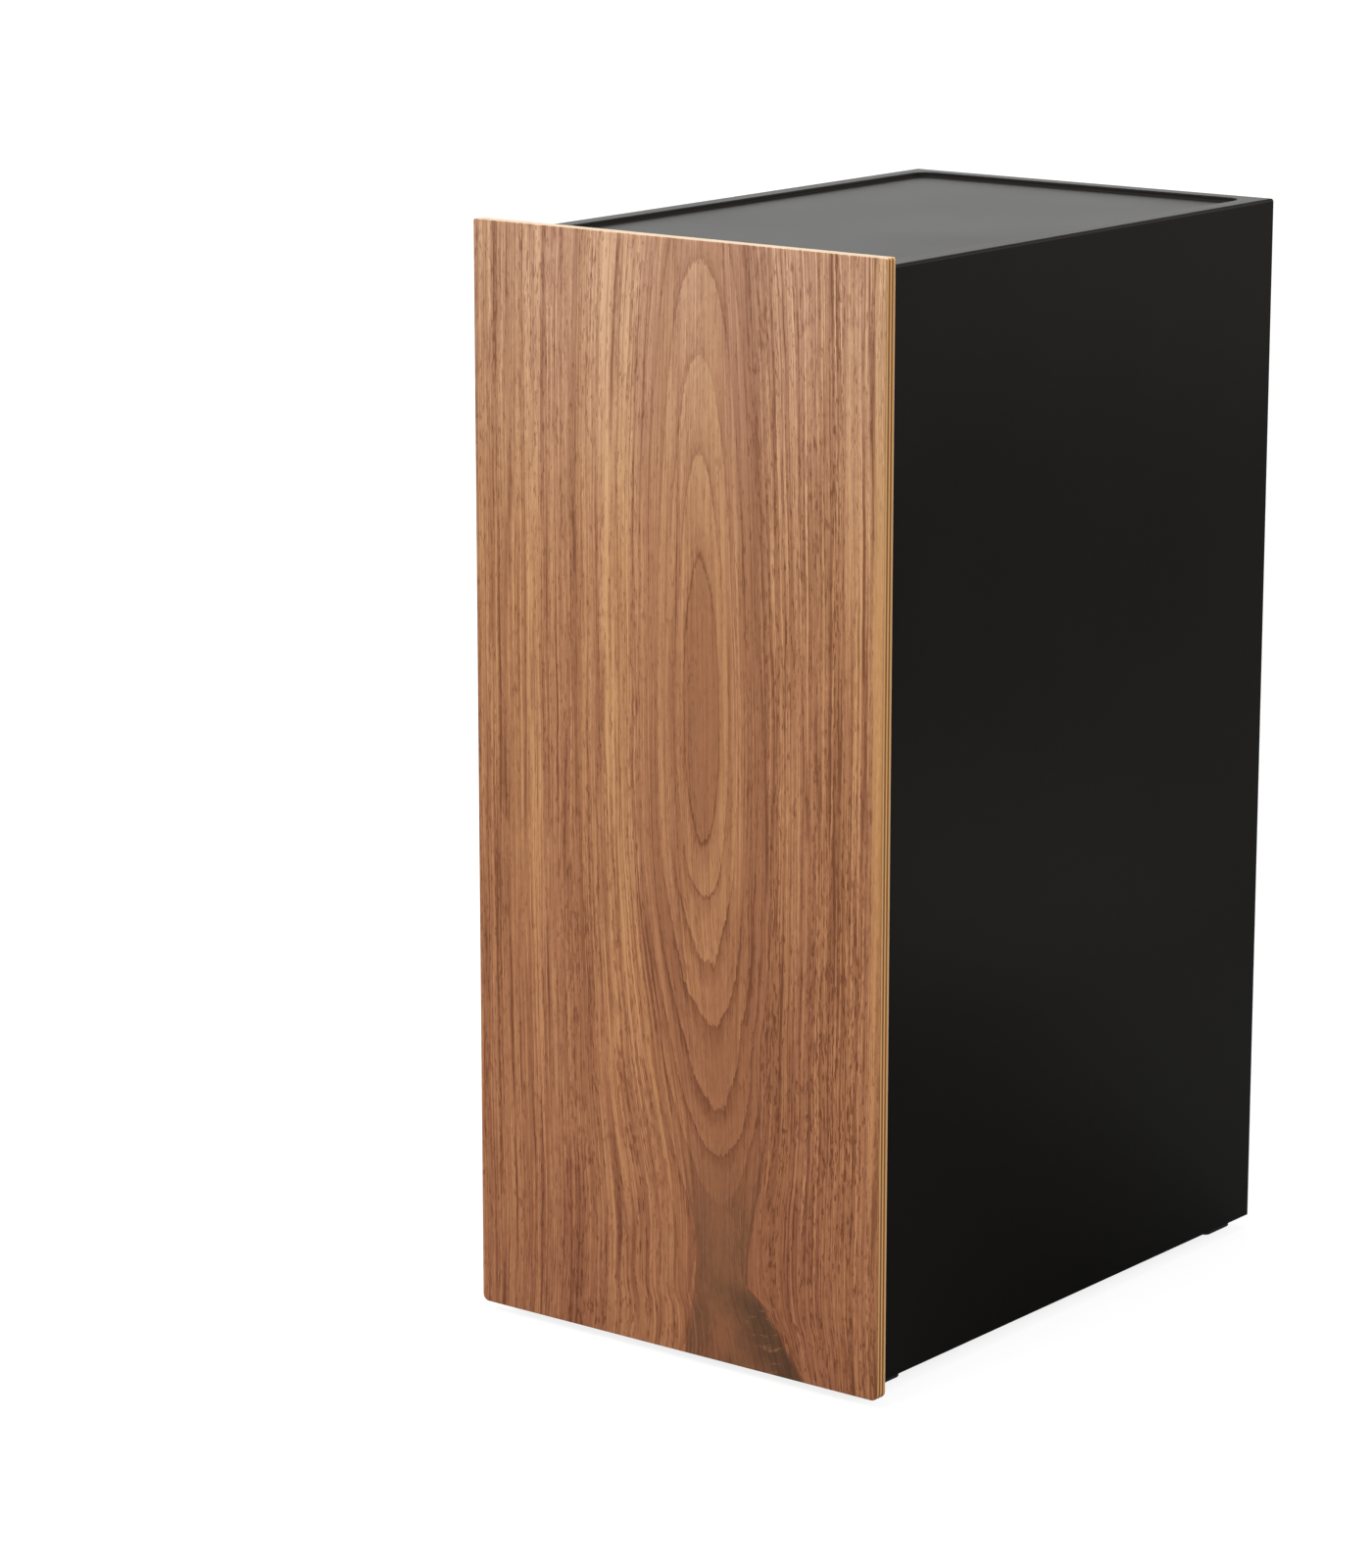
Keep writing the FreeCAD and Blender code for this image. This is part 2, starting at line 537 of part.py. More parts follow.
def end_plate(skin, inward):
    """Upright folded plate at one end of the carrier; skin is its outer face and inward points to the shelves."""
    corners = [(-CARRIER_HALF, skin + inward * PLATE_FLANGE), (-CARRIER_HALF, skin),
               (CARRIER_HALF, skin), (CARRIER_HALF, skin + inward * PLATE_FLANGE)]
    if inward < 0:
        corners.reverse()
    fold_start = CARRIER_BOTTOM + TRAY_HEIGHT + CARRIER_SHEET
    folded = folded_section(corners, CARRIER_SHEET, [BEND_RADIUS - CARRIER_SHEET] * 2)
    folded.translate(Vector(0, 0, fold_start))
    plate = folded.extrude(Vector(0, 0, CARRIER_TOP - fold_start))
    y0, y1 = sorted((skin, skin + inward * CARRIER_SHEET))
    plate = plate.fuse(block(-CARRIER_HALF, CARRIER_HALF, y0, y1, CARRIER_BOTTOM, fold_start))
    return plate.cut(tab_slots(y0 - CARRIER_SHEET, y1 + CARRIER_SHEET))


def front_plate():
    plate = end_plate(PANEL_BACK, 1)
    for x, z in screw_places():
        hole = cylinder(SCREW_RADIUS + SCREW_HOLE_ROOM, Vector(x, PANEL_BACK, z), Y_AXIS, CARRIER_SHEET)
        plate = plate.cut(hole)
    return plate


def rear_plate():
    return end_plate(REAR_PLATE_FRONT + CARRIER_SHEET, -1)


def carrier_tray():
    """Deep tray at the bottom, which hooks on to the lower slides."""
    tray = pan(-CARRIER_HALF, CARRIER_HALF, PLATE_BACK, REAR_PLATE_FRONT, CARRIER_BOTTOM,
               TRAY_HEIGHT, CARRIER_SHEET)
    for at in LUG_PLACES:
        y = SLIDE_FRONT + at
        tray = tray.cut(block(-2 * CARRIER_HALF, 2 * CARRIER_HALF,
                              y - LUG_WIDTH / 2 - LUG_ROOM, y + LUG_WIDTH / 2 + LUG_ROOM,
                              LOWER_SLIDE_LEVEL - LUG_SLOT_HALF, LOWER_SLIDE_LEVEL + LUG_SLOT_HALF))
    return tray


def top_rail():
    """Channel from plate to plate along the top, which hangs on the upper slide."""
    half = TOP_RAIL_WIDTH / 2
    low, high = CARRIER_TOP - TOP_RAIL_HEIGHT, CARRIER_TOP
    section = folded_section([(half, low), (half, high), (-half, high), (-half, low)],
                             CARRIER_SHEET, [BEND_RADIUS - CARRIER_SHEET] * 2)
    channel = section.extrude(Vector(0, 0, REAR_PLATE_FRONT - PLATE_BACK))
    rail = placed(channel, Vector(0, REAR_PLATE_FRONT, 0), X_AXIS, Z_AXIS)
    for at in LUG_PLACES:
        y = SLIDE_FRONT + at
        rail = rail.cut(block(-LUG_SLOT_HALF, LUG_SLOT_HALF,
                              y - LUG_WIDTH / 2 - LUG_ROOM, y + LUG_WIDTH / 2 + LUG_ROOM,
                              CARRIER_TOP - 2 * CARRIER_SHEET, CARRIER_TOP + CARRIER_SHEET))
    return rail


def shelf(row):
    """Folded shelf that drops into the slots of one row with two tabs at each end."""
    half = CARRIER_HALF - CARRIER_SHEET - SHELF_SIDE_GAP
    front, back = PLATE_BACK + SHELF_END_GAP, REAR_PLATE_FRONT - SHELF_END_GAP
    level = slot_level(row)
    plate = pan(-half, half, front, back, level, SHELF_HEIGHT, SHELF_SHEET)
    reach = SHELF_END_GAP + CARRIER_SHEET - SLOT_ROOM
    for x in (-TAB_SIDE_OFFSET, TAB_SIDE_OFFSET):
        for root, tip in ((front + BEND_RADIUS, front - reach), (back - BEND_RADIUS, back + reach)):
            y0, y1 = sorted((root, tip))
            plate = plate.fuse(block(x - TAB_WIDTH / 2, x + TAB_WIDTH / 2, y0, y1, level, level + SHELF_SHEET))
    return plate


# ---- the whole cabinet --------------------------------------------------------------------------------------
def make_parts():
    put("plywood_front", plywood_front())
    put_group("panel_screws", panel_screws())
    put("case_wrap", case_wrap())
    put("back_panel", back_panel())
    put("base_pan", base_pan())
    for end, place in zip(("front", "rear"), POST_PLACES):
        post = side_post(place)
        put("post_%s_right" % end, post)
        put("post_%s_left" % end, mirrored(post))
        put("bridge_%s" % end, bridge(place))
    put_group("bumpers", bumpers())
    corners = ("front_left", "front_right", "rear_left", "rear_right")
    for corner, (x, y) in zip(corners, foot_places()):
        put("foot_" + corner, foot(x, y))
    put_group("foot_nuts", foot_nuts())
    put("counterweight", counterweight())

    pieces = slide_pieces()
    stop = on_right_wall(pieces["stop"])
    put_group("slide_stops", [mirrored(stop), stop, under_bridges(pieces.pop("stop"))])
    for kind, piece in pieces.items():
        right = on_right_wall(piece)
        put("lower_right_" + kind, right)
        put("lower_left_" + kind, mirrored(right))
        put("upper_" + kind, under_bridges(piece))

    put("front_plate", front_plate())
    put("rear_plate", rear_plate())
    put("carrier_tray", carrier_tray())
    put("top_rail", top_rail())
    put("lower_shelf", shelf(ROWS_BELOW_LOWER_SHELF))
    put("upper_shelf", shelf(ROWS_BELOW_UPPER_SHELF))


make_parts()
os.makedirs("parts", exist_ok=True)
for name, shape in parts.items():
    shape.exportStep("parts/%s.step" % name)
    print(name, "solids", len(shape.Solids), "volume %.0f" % shape.Volume, "valid", shape.isValid())
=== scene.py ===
import bmesh
import bpy
import math
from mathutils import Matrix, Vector


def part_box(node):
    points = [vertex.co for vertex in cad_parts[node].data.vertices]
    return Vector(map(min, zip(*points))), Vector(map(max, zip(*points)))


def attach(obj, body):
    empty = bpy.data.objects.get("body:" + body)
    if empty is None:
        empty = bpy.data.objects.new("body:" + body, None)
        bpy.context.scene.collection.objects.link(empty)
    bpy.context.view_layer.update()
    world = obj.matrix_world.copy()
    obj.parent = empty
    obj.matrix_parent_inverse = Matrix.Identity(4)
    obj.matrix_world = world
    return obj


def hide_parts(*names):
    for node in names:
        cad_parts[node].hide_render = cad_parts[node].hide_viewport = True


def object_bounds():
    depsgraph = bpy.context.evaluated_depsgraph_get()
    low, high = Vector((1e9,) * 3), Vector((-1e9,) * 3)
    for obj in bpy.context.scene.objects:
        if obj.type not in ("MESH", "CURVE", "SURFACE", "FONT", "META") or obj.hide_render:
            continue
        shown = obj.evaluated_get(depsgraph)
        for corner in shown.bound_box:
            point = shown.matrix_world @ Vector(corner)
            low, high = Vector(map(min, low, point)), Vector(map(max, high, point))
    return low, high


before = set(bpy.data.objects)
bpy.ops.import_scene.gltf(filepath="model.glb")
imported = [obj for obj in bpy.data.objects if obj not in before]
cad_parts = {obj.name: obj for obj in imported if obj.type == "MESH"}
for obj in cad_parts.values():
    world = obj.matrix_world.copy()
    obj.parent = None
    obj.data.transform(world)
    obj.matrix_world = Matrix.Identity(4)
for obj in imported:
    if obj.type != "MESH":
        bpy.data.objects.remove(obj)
cad_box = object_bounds()

# ---- Camera ----------------------------------------------------------------------------------------------
# The cabinet is seen from its front right corner, a little above its top, and stands right of the middle.
# The lens is long, so the uprights stay close to parallel.
CAMERA_AZIMUTH = math.radians(35.67)
CAMERA_RISE = math.radians(12.75)
CAMERA_DISTANCE = 3.4234
CAMERA_TURN = math.radians(2.296)      # past the cabinet's middle, to its left
CAMERA_TILT = math.radians(13.154)
CAMERA_LENS = 119.11

middle = (cad_box[0] + cad_box[1]) / 2
camera = bpy.data.objects.new("camera", bpy.data.cameras.new("camera"))
bpy.context.scene.collection.objects.link(camera)
camera.data.lens = CAMERA_LENS
camera.data.sensor_fit = "AUTO"
camera.data.sensor_width = 36
camera.data.clip_end = 100
camera.location = middle + CAMERA_DISTANCE * Vector((
    math.sin(CAMERA_AZIMUTH) * math.cos(CAMERA_RISE),
    -math.cos(CAMERA_AZIMUTH) * math.cos(CAMERA_RISE),
    math.sin(CAMERA_RISE)))
camera.rotation_euler = (math.pi / 2 - CAMERA_TILT, 0, CAMERA_AZIMUTH + CAMERA_TURN)
bpy.context.scene.camera = camera
bpy.context.scene.view_settings.view_transform = "Standard"


# ---- Studio floor, air and lamps -------------------------------------------------------------------------
# A wide pale floor and a white surround, with five soft lamps: one over the top, one in front and high on
# the left, a weaker one to the right, and two behind, one for the sheen on the top and one for its fold.
MM = 0.001
AIR_LIGHT = 0.45         # the surround's strength as light
DOME_OVERHEAD = 0.15     # its strength overhead as a surface mirrors it; at the horizon it is 1
DOME_LOW = 0.36          # where that change starts and ends, as the sine of the height above the horizon
DOME_HIGH = 0.52
FLOOR_HALF = 30.0
FLOOR_DROP = 0.2         # how far the floor lies under the feet, so that the two don't share a plane
FLOOR_GLOW = 0.84        # what the floor adds to its own shade, seen straight


class Socket:
    """One value in a node tree; arithmetic on it adds Math nodes to that tree."""

    def __init__(self, nodes, output):
        self.nodes = nodes
        self.output = output

    def math(self, operation, *others):
        return self.nodes.math(operation, self, *others)

    def __add__(self, other):
        return self.math("ADD", other)

    def __sub__(self, other):
        return self.math("SUBTRACT", other)

    def __rsub__(self, other):
        return self.nodes.math("SUBTRACT", other, self)

    def __mul__(self, other):
        return self.math("MULTIPLY", other)

    def __truediv__(self, other):
        return self.math("DIVIDE", other)

    def __rtruediv__(self, other):
        return self.nodes.math("DIVIDE", other, self)

    __radd__ = __add__
    __rmul__ = __mul__


class Nodes:
    """A node tree, built node by node."""

    def __init__(self, tree):
        self.tree = tree

    def node(self, kind, settings=None, values=None, output=0):
        """Adds a node, sets it up, fills or links its sockets, and gives back one of its outputs."""
        made = self.tree.nodes.new(kind)
        for name, setting in (settings or {}).items():
            if name == "stops":
                self.set_stops(made.color_ramp.elements, setting)
            elif name == "points":
                self.set_points(made.mapping, setting)
            else:
                setattr(made, name, setting)
        for name, value in (values or {}).items():
            self.fill(made.inputs[name], value)
        return Socket(self, made.outputs[output]) if made.outputs else None

    def set_stops(self, stops, wanted):
        while len(stops) < len(wanted):
            stops.new(1)
        for stop, (place, tone) in zip(stops, wanted):
            stop.position = place
            stop.color = (tone, tone, tone, 1)

    def set_points(self, mapping, wanted):
        points = mapping.curves[0].points
        while len(points) < len(wanted):
            points.new(1, 1)
        for point, place in zip(points, wanted):
            point.location = place
        mapping.update()

    def fill(self, target, value):
        """Links a socket to a value from a node or to each in a list of them; sets it to a plain value."""
        if isinstance(value, Socket):
            self.tree.links.new(value.output, target)
        elif isinstance(value, list):
            for one in value:
                self.fill(target, one)
        else:
            target.default_value = value

    def math(self, operation, *values):
        return self.node("ShaderNodeMath", {"operation": operation}, dict(enumerate(values)))


class Finish(Nodes):
    """A material, built round its Principled shader."""

    def __init__(self, name):
        self.material = bpy.data.materials.new(name)
        self.material.use_nodes = True
        super().__init__(self.material.node_tree)
        self.shader = self.tree.nodes["Principled BSDF"]

    def set(self, **values):
        """Sets inputs of the Principled shader, written with _ for a space."""
        for name, value in values.items():
            self.fill(self.shader.inputs[name.replace("_", " ")], value)

    def place(self, axis):
        """The point's X, Y or Z on the piece, in millimetres."""
        spot = self.node("ShaderNodeTexCoord", output="Object")
        return self.node("ShaderNodeSeparateXYZ", values={0: spot}, output=axis) * 1000

    def point(self, x, y, z):
        return self.node("ShaderNodeCombineXYZ", values={0: x, 1: y, 2: z})

    def noise(self, spot, scale, detail=2.0, roughness=0.5):
        """Smooth noise from 0 to 1 at a point in millimetres, with about scale waves to each millimetre."""
        return self.node("ShaderNodeTexNoise", values={"Vector": spot, "Scale": scale, "Detail": detail,
                                                       "Roughness": roughness}, output="Fac")

    def ramp(self, value, low, high):
        """0 below low and 1 above high, smooth between them; high may be the smaller one."""
        ends = (low, high, 0, 1) if low < high else (high, low, 1, 0)
        return self.node("ShaderNodeMapRange", {"interpolation_type": "SMOOTHSTEP"},
                         dict(enumerate((value, *ends))))

    def mix(self, share, first, second, way="MIX"):
        """Colour between two others."""
        return self.node("ShaderNodeMix", {"data_type": "RGBA", "blend_type": way},
                         {0: share, 6: first, 7: second}, output=2)

    def bump(self, height, depth):
        """Dents the surface by a height from 0 to 1, times a depth in millimetres."""
        self.set(Normal=self.node("ShaderNodeBump", values={"Distance": depth * MM, "Height": height}))


world = bpy.data.worlds.new("air")
bpy.context.scene.world = world
world.use_nodes = True
air = Nodes(world.node_tree)
way = air.node("ShaderNodeTexCoord", output="Generated")
upward = air.node("ShaderNodeSeparateXYZ", values={0: way}, output="Z")
dome = air.node("ShaderNodeMapRange", {"interpolation_type": "SMOOTHSTEP"},
                {0: upward, 1: DOME_LOW, 2: DOME_HIGH, 3: 1.0, 4: DOME_OVERHEAD})
mirrored = air.node("ShaderNodeLightPath", output="Is Glossy Ray")
seen = air.node("ShaderNodeLightPath", output="Is Camera Ray")
level = air.node("ShaderNodeMix", values={0: mirrored, 2: AIR_LIGHT, 3: dome})
backdrop = air.tree.nodes["Background"]
air.fill(backdrop.inputs["Color"], (1, 1, 1, 1))
air.fill(backdrop.inputs["Strength"], seen.math("MAXIMUM", level))

floor_finish = Finish("studio_floor")
floor_finish.set(Base_Color=(0.25, 0.25, 0.25, 1), Roughness=0.9, Specular_IOR_Level=0.0)
floor_seen = floor_finish.node("ShaderNodeLightPath", output="Is Camera Ray")
floor_mirrored = floor_finish.node("ShaderNodeLightPath", output="Is Glossy Ray")
floor_x, floor_y = floor_finish.place("X"), floor_finish.place("Y")
floor_reach = (floor_x * floor_x + floor_y * floor_y).math("SQRT")
# Painted shade as surfaces mirror the floor: dim by the cabinet, a painted bright band round its feet.
beyond_painted_shade = floor_finish.ramp(floor_reach, 60, 560)           # what a surface mirrors of the floor
painted_glow_band = floor_finish.ramp(floor_reach, 120, 320) * floor_finish.ramp(floor_reach, 720, 380)
far_off = floor_finish.ramp(floor_reach, 1900, 3500)
painted_mirrored_glow = beyond_painted_shade * 0.05 + painted_glow_band * 0.18 + far_off * 0.77 + 0.01
glow = floor_finish.node("ShaderNodeEmission", values={
    "Strength": floor_seen * (far_off * 0.12 + FLOOR_GLOW) + floor_mirrored * painted_mirrored_glow})
shade = Socket(floor_finish, floor_finish.shader.outputs[0])
both = floor_finish.node("ShaderNodeAddShader", values={0: glow, 1: shade})
floor_finish.fill(floor_finish.tree.nodes["Material Output"].inputs["Surface"], both)
floor_mesh = bpy.data.meshes.new("studio_floor")
floor_mesh.from_pydata([(-FLOOR_HALF, -FLOOR_HALF, 0), (FLOOR_HALF, -FLOOR_HALF, 0),
                        (FLOOR_HALF, FLOOR_HALF, 0), (-FLOOR_HALF, FLOOR_HALF, 0)], [], [(0, 1, 2, 3)])
floor_mesh.materials.append(floor_finish.material)
studio_floor = bpy.data.objects.new("studio_floor", floor_mesh)
studio_floor.location.z = cad_box[0].z - FLOOR_DROP * MM
bpy.context.scene.collection.objects.link(studio_floor)


def soft_lamp(name, place, aim, width, height, power):
    """Rectangular soft lamp hung at a place and turned to an aim."""
    lamp = bpy.data.objects.new(name, bpy.data.lights.new(name, "AREA"))
    lamp.data.shape = "RECTANGLE"
    lamp.data.size = width
    lamp.data.size_y = height
    lamp.data.energy = power
    lamp.visible_camera = False
    lamp.location = place
    lamp.rotation_euler = (Vector(aim) - Vector(place)).to_track_quat("-Z", "Y").to_euler()
    bpy.context.scene.collection.objects.link(lamp)


soft_lamp("lamp_over", (-0.5, -0.3, 3.0), (0.0, 0.0, 0.7), 2.0, 2.0, 75)
soft_lamp("lamp_front", (-0.7, -2.4, 2.3), (0.0, 0.0, 0.5), 1.8, 1.4, 54)
soft_lamp("lamp_right", (2.6, -1.2, 1.9), (0.0, 0.0, 0.4), 1.2, 1.2, 26)
soft_lamp("lamp_sheen", (-3.4, 3.6, 1.7), (0.0, 0.0, 0.7), 3.0, 1.6, 11)
soft_lamp("lamp_fold", (2.05, 3.25, 2.0), (0.0, 0.0, 0.7), 1.2, 1.2, 30)


# ---- Plywood front ---------------------------------------------------------------------------------------
# A nine millimetre plywood board, faced with crown-cut walnut veneer and lacquered thin and matt.
# Its sawn edges are left bare, so the plies show, and the corners and arrises are only just eased.
def colour(red, green, blue):
    """Colour as a swatch gives it, 0 to 255, turned into light."""
    shares = [part / 255 for part in (red, green, blue)]
    return (*[part / 12.92 if part < 0.04 else ((part + 0.055) / 1.055) ** 2.4 for part in shares], 1)


BOARD_TOP_CORNER = 1.5
BOARD_FOOT_CORNER = 4.5
BOARD_ARRIS = 0.3
VENEER = 0.6
CORE_PLIES = 5
HEART_TONE = colour(158, 107, 72)
STRAW_TONE = colour(194, 145, 98)
DEEP_TONE = colour(112, 66, 38)
PITH_SIDE = 20.0             # how far right of the middle the rings' pith is at the top
PITH_LEAN = 32.0             # and how much further right it gets at the foot
PITH_DEPTH = 80.0            # scale of its depth under the veneer
RING_PITCH = 5.87
FIRST_RING = 21.6


def rounded_outline(x0, x1, z0, z1, radius, foot_radius=None, steps=6, hold=1.0, stations=()):
    """Points round a rectangle with rounded corners, anticlockwise, with a point just past each corner.

    The two corners at z0 may have a radius of their own. stations are extra places along the two sides
    that run in the first direction.
    """
    foot = radius if foot_radius is None else foot_radius
    corners = [(x1 - radius, z1 - radius, radius), (x0 + radius, z1 - radius, radius),
               (x0 + foot, z0 + foot, foot), (x1 - foot, z0 + foot, foot)]
    straights = [[(x, z1) for x in (x1 - radius - hold, *sorted(stations, reverse=True), x0 + radius + hold)],
                 [(x0, z1 - radius - hold), (x0, z0 + foot + hold)],
                 [(x, z0) for x in (x0 + foot + hold, *sorted(stations), x1 - foot - hold)],
                 [(x1, z0 + foot + hold), (x1, z1 - radius - hold)]]
    outline = []
    for quarter, ((x, z, bend), straight) in enumerate(zip(corners, straights)):
        for step in range(steps + 1):
            turn = math.pi / 2 * (quarter + step / steps)
            outline.append((x + bend * math.cos(turn), z + bend * math.sin(turn)))
        outline += straight
    return outline


def skin_over(name, rings, material, close_first=True, close_last=True, keep=lambda face_middle: True):
    """Mesh object whose skin joins rings of points, in millimetres, with its faces outwards."""
    mesh = bmesh.new()
    loops = [[mesh.verts.new(Vector(spot) * MM) for spot in ring] for ring in rings]
    for loop, after in zip(loops, loops[1:]):
        for index in range(len(loop)):
            around = (index + 1) % len(loop)
            corners = [loop[index], loop[around], after[around], after[index]]
            face_middle = sum((corner.co for corner in corners), Vector()) / (4 * MM)
            if keep(face_middle):
                mesh.faces.new(corners)
    if close_first:
        mesh.faces.new(loops[0][::-1])
    if close_last:
        mesh.faces.new(loops[-1])
    loose = [vert for vert in mesh.verts if not vert.link_faces]
    bmesh.ops.delete(mesh, geom=loose, context="VERTS")
    bmesh.ops.remove_doubles(mesh, verts=mesh.verts, dist=0.0001 * MM)
    bmesh.ops.recalc_face_normals(mesh, faces=mesh.faces)
    for face in mesh.faces:
        face.smooth = True
    data = bpy.data.meshes.new(name)
    mesh.to_mesh(data)
    mesh.free()
    data.materials.append(material)
    piece = bpy.data.objects.new(name, data)
    bpy.context.scene.collection.objects.link(piece)
    return piece


def eased_steps(start, end, ease, steps=3, hold=0.8):
    """Levels from start to end with the inset at each, for a slab whose two arrises are rounded by ease."""
    turns = [math.pi / 2 * step / steps for step in range(steps + 1)]
    sign = 1 if end > start else -1
    levels = [(start, ease + hold)]
    bend = [(sign * ease * (1 - math.cos(turn)), ease * (1 - math.sin(turn))) for turn in turns]
    levels += [(start + along, inset) for along, inset in bend]
    levels += [(start + sign * (ease + hold), 0), (end - sign * (ease + hold), 0)]
    levels += [(end - along, inset) for along, inset in bend[::-1]]
    levels += [(end, ease + hold)]
    return levels


def in_mm(node):
    """A CAD node's lowest and highest corners in millimetres."""
    return tuple(corner * 1000 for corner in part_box(node))


def board_skin(material):
    low, high = in_mm("plywood_front")
    rings = []
    for y, inset in eased_steps(low.y, high.y, BOARD_ARRIS):
        outline = rounded_outline(low.x + inset, high.x - inset, low.z + inset, high.z - inset,
                                  BOARD_TOP_CORNER - inset, BOARD_FOOT_CORNER - inset)
        rings.append([(x, y, z) for x, z in outline])
    return skin_over("plywood_board", rings, material)


class Walnut(Finish):
    """Crown-cut walnut veneer over plywood, laid out in millimetres on the board.

    lay_rings, mark_heartwood, count_years and grow_fibres keep what they work out, in that order, and the
    methods after them use it.
    """

    def __init__(self, low, high):
        super().__init__("walnut_plywood")
        self.low, self.high = low, high
        self.x, self.y, self.z = (self.place(axis) for axis in "XYZ")

    def lay_rings(self):
        """Finds how far each point is from the pith of the repeat rings.

        The pith's depth under the veneer changes with the height, so a ring shows as an oval or a V. The
        grain follows the rings along their flanks.
        """
        x, y, z = self.x, self.y, self.z
        share = (z - self.low.z) / (self.high.z - self.low.z)
        depth_share = self.node("ShaderNodeFloatCurve", {"points": [
            (0.0, 0.56), (0.04, 0.68), (0.09, 0.74), (0.14, 0.72), (0.19, 0.65), (0.24, 0.57), (0.31, 0.49),
            (0.36, 0.41), (0.41, 0.35), (0.47, 0.27), (0.6, 0.21), (0.73, 0.27), (0.83, 0.34), (0.92, 0.42),
            (1.0, 0.51)]}, {"Factor": 1, "Value": share})
        lean_share = self.node("ShaderNodeFloatCurve", {"points": [
            (0.0, 1.0), (0.04, 0.78), (0.08, 0.52), (0.14, 0.5), (0.2, 0.47), (0.28, 0.33), (0.36, 0.22),
            (0.46, 0.1), (0.7, 0.03), (1.0, 0.0)]}, {"Factor": 1, "Value": share})
        self.sway = self.noise(self.point(x * 0.018, y * 0.1, z * 0.004), 1.0, 2.0) - 0.5
        self.ripple = self.noise(self.point(x * 0.12, y * 0.1, z * 0.03), 1.0, 3.0, 0.6) - 0.5
        lean = lean_share * PITH_LEAN * self.ramp((x - 35).math("ABSOLUTE"), 135, 10)
        self.side_step = x - PITH_SIDE - lean + self.sway * 7 + self.ripple * 1.6
        self.side = self.side_step.math("ABSOLUTE")
        depth = depth_share * PITH_DEPTH
        self.ring_reach = (self.side_step * self.side_step + depth * depth).math("SQRT")
        bend = depth * depth * (0.35 + self.ramp(self.side, 120, 35) * 0.65)
        self.flank = self.side_step * (1 + bend / (self.side_step * self.side_step + 700)).math("SQRT")

    def mark_heartwood(self):
        """Marks dark heartwood by a knot: nearly straight on its left, flaring to the right at the foot."""
        x, z = self.x, self.z
        flare = self.ramp(z, 61, 50) * 7 + (60 - z).math("MAXIMUM", 0) * 0.70 + 57
        flare = flare + ((z - 76).math("MAXIMUM", 0) * 0.17).math("MINIMUM", 10)
        self.to_flare = flare - x + self.ripple * 6
        waist = self.ramp(z, 66, 8) * 8 + (z - 84).math("MAXIMUM", 0) * 0.21
        self.from_left = x - 19 + waist + self.ripple * 4
        sides = self.ramp(self.from_left, -0.8, 1.2) * self.ramp(self.to_flare, -0.8, 1.2)
        self.heart = sides * self.ramp(z, 165, 70)

    def count_years(self):
        """Marks where each year ends: a fine dark line, dark early wood past it and a pale rim inside it."""
        self.vees = self.ramp(self.z, 330, 250)
        crown = self.ramp(self.z, 500, 640) * 0.6
        self.near_pith = self.ramp(self.ring_reach, 85, 40)
        fuzz = self.noise(self.point(self.x * 0.7, self.y, self.z * 0.22), 1.0, 1.0) - 0.5
        years = (self.ring_reach - FIRST_RING) / RING_PITCH + fuzz * 0.16 + self.ripple * self.vees * 0.55
        years = years + (self.noise(self.point(self.ring_reach * 0.05, 3, 0), 1.0, 1.0) - 0.5) * 1.4
        into_year = years.math("FRACT")
        shown = self.ramp(self.ring_reach, 18.5, 21.0) * (1 - self.heart)
        patchy = self.noise(self.point(self.side_step * 0.05, self.y, self.z * 0.012), 1.0, 2.0)
        self.faint = self.ramp(patchy, 0.30, 0.66)
        crest = self.ramp(self.side / self.ring_reach, 0.80, 0.45)
        first = self.ramp(self.ring_reach, FIRST_RING + 3.2, FIRST_RING + 1.6)
        line = self.ramp(into_year, 0.13, 0.04) * self.ramp(into_year, 0.0, 0.03) * shown
        line = line * (0.22 + self.near_pith * 0.50) * (self.faint + 0.35)
        line = line * (0.40 + (crest + first).math("MINIMUM", 1) * 0.60)
        self.line = line * (1 - self.vees * 0.55 - crown)
        self.early = self.ramp(into_year, 0.50, 0.05) * shown
        self.rim = self.ramp(into_year, 0.72, 0.97) * crest * (self.vees + crown) * self.near_pith * shown

    def along_grain(self, across, along, detail=1.0, roughness=0.5, offset=0, y_step=0):
        """Noise from -0.5 to 0.5 with so many waves to the millimetre across and along the grain."""
        spot = self.point(self.flank * across + offset, self.y + y_step, self.z * along)
        return self.noise(spot, 1.0, detail, roughness) - 0.5

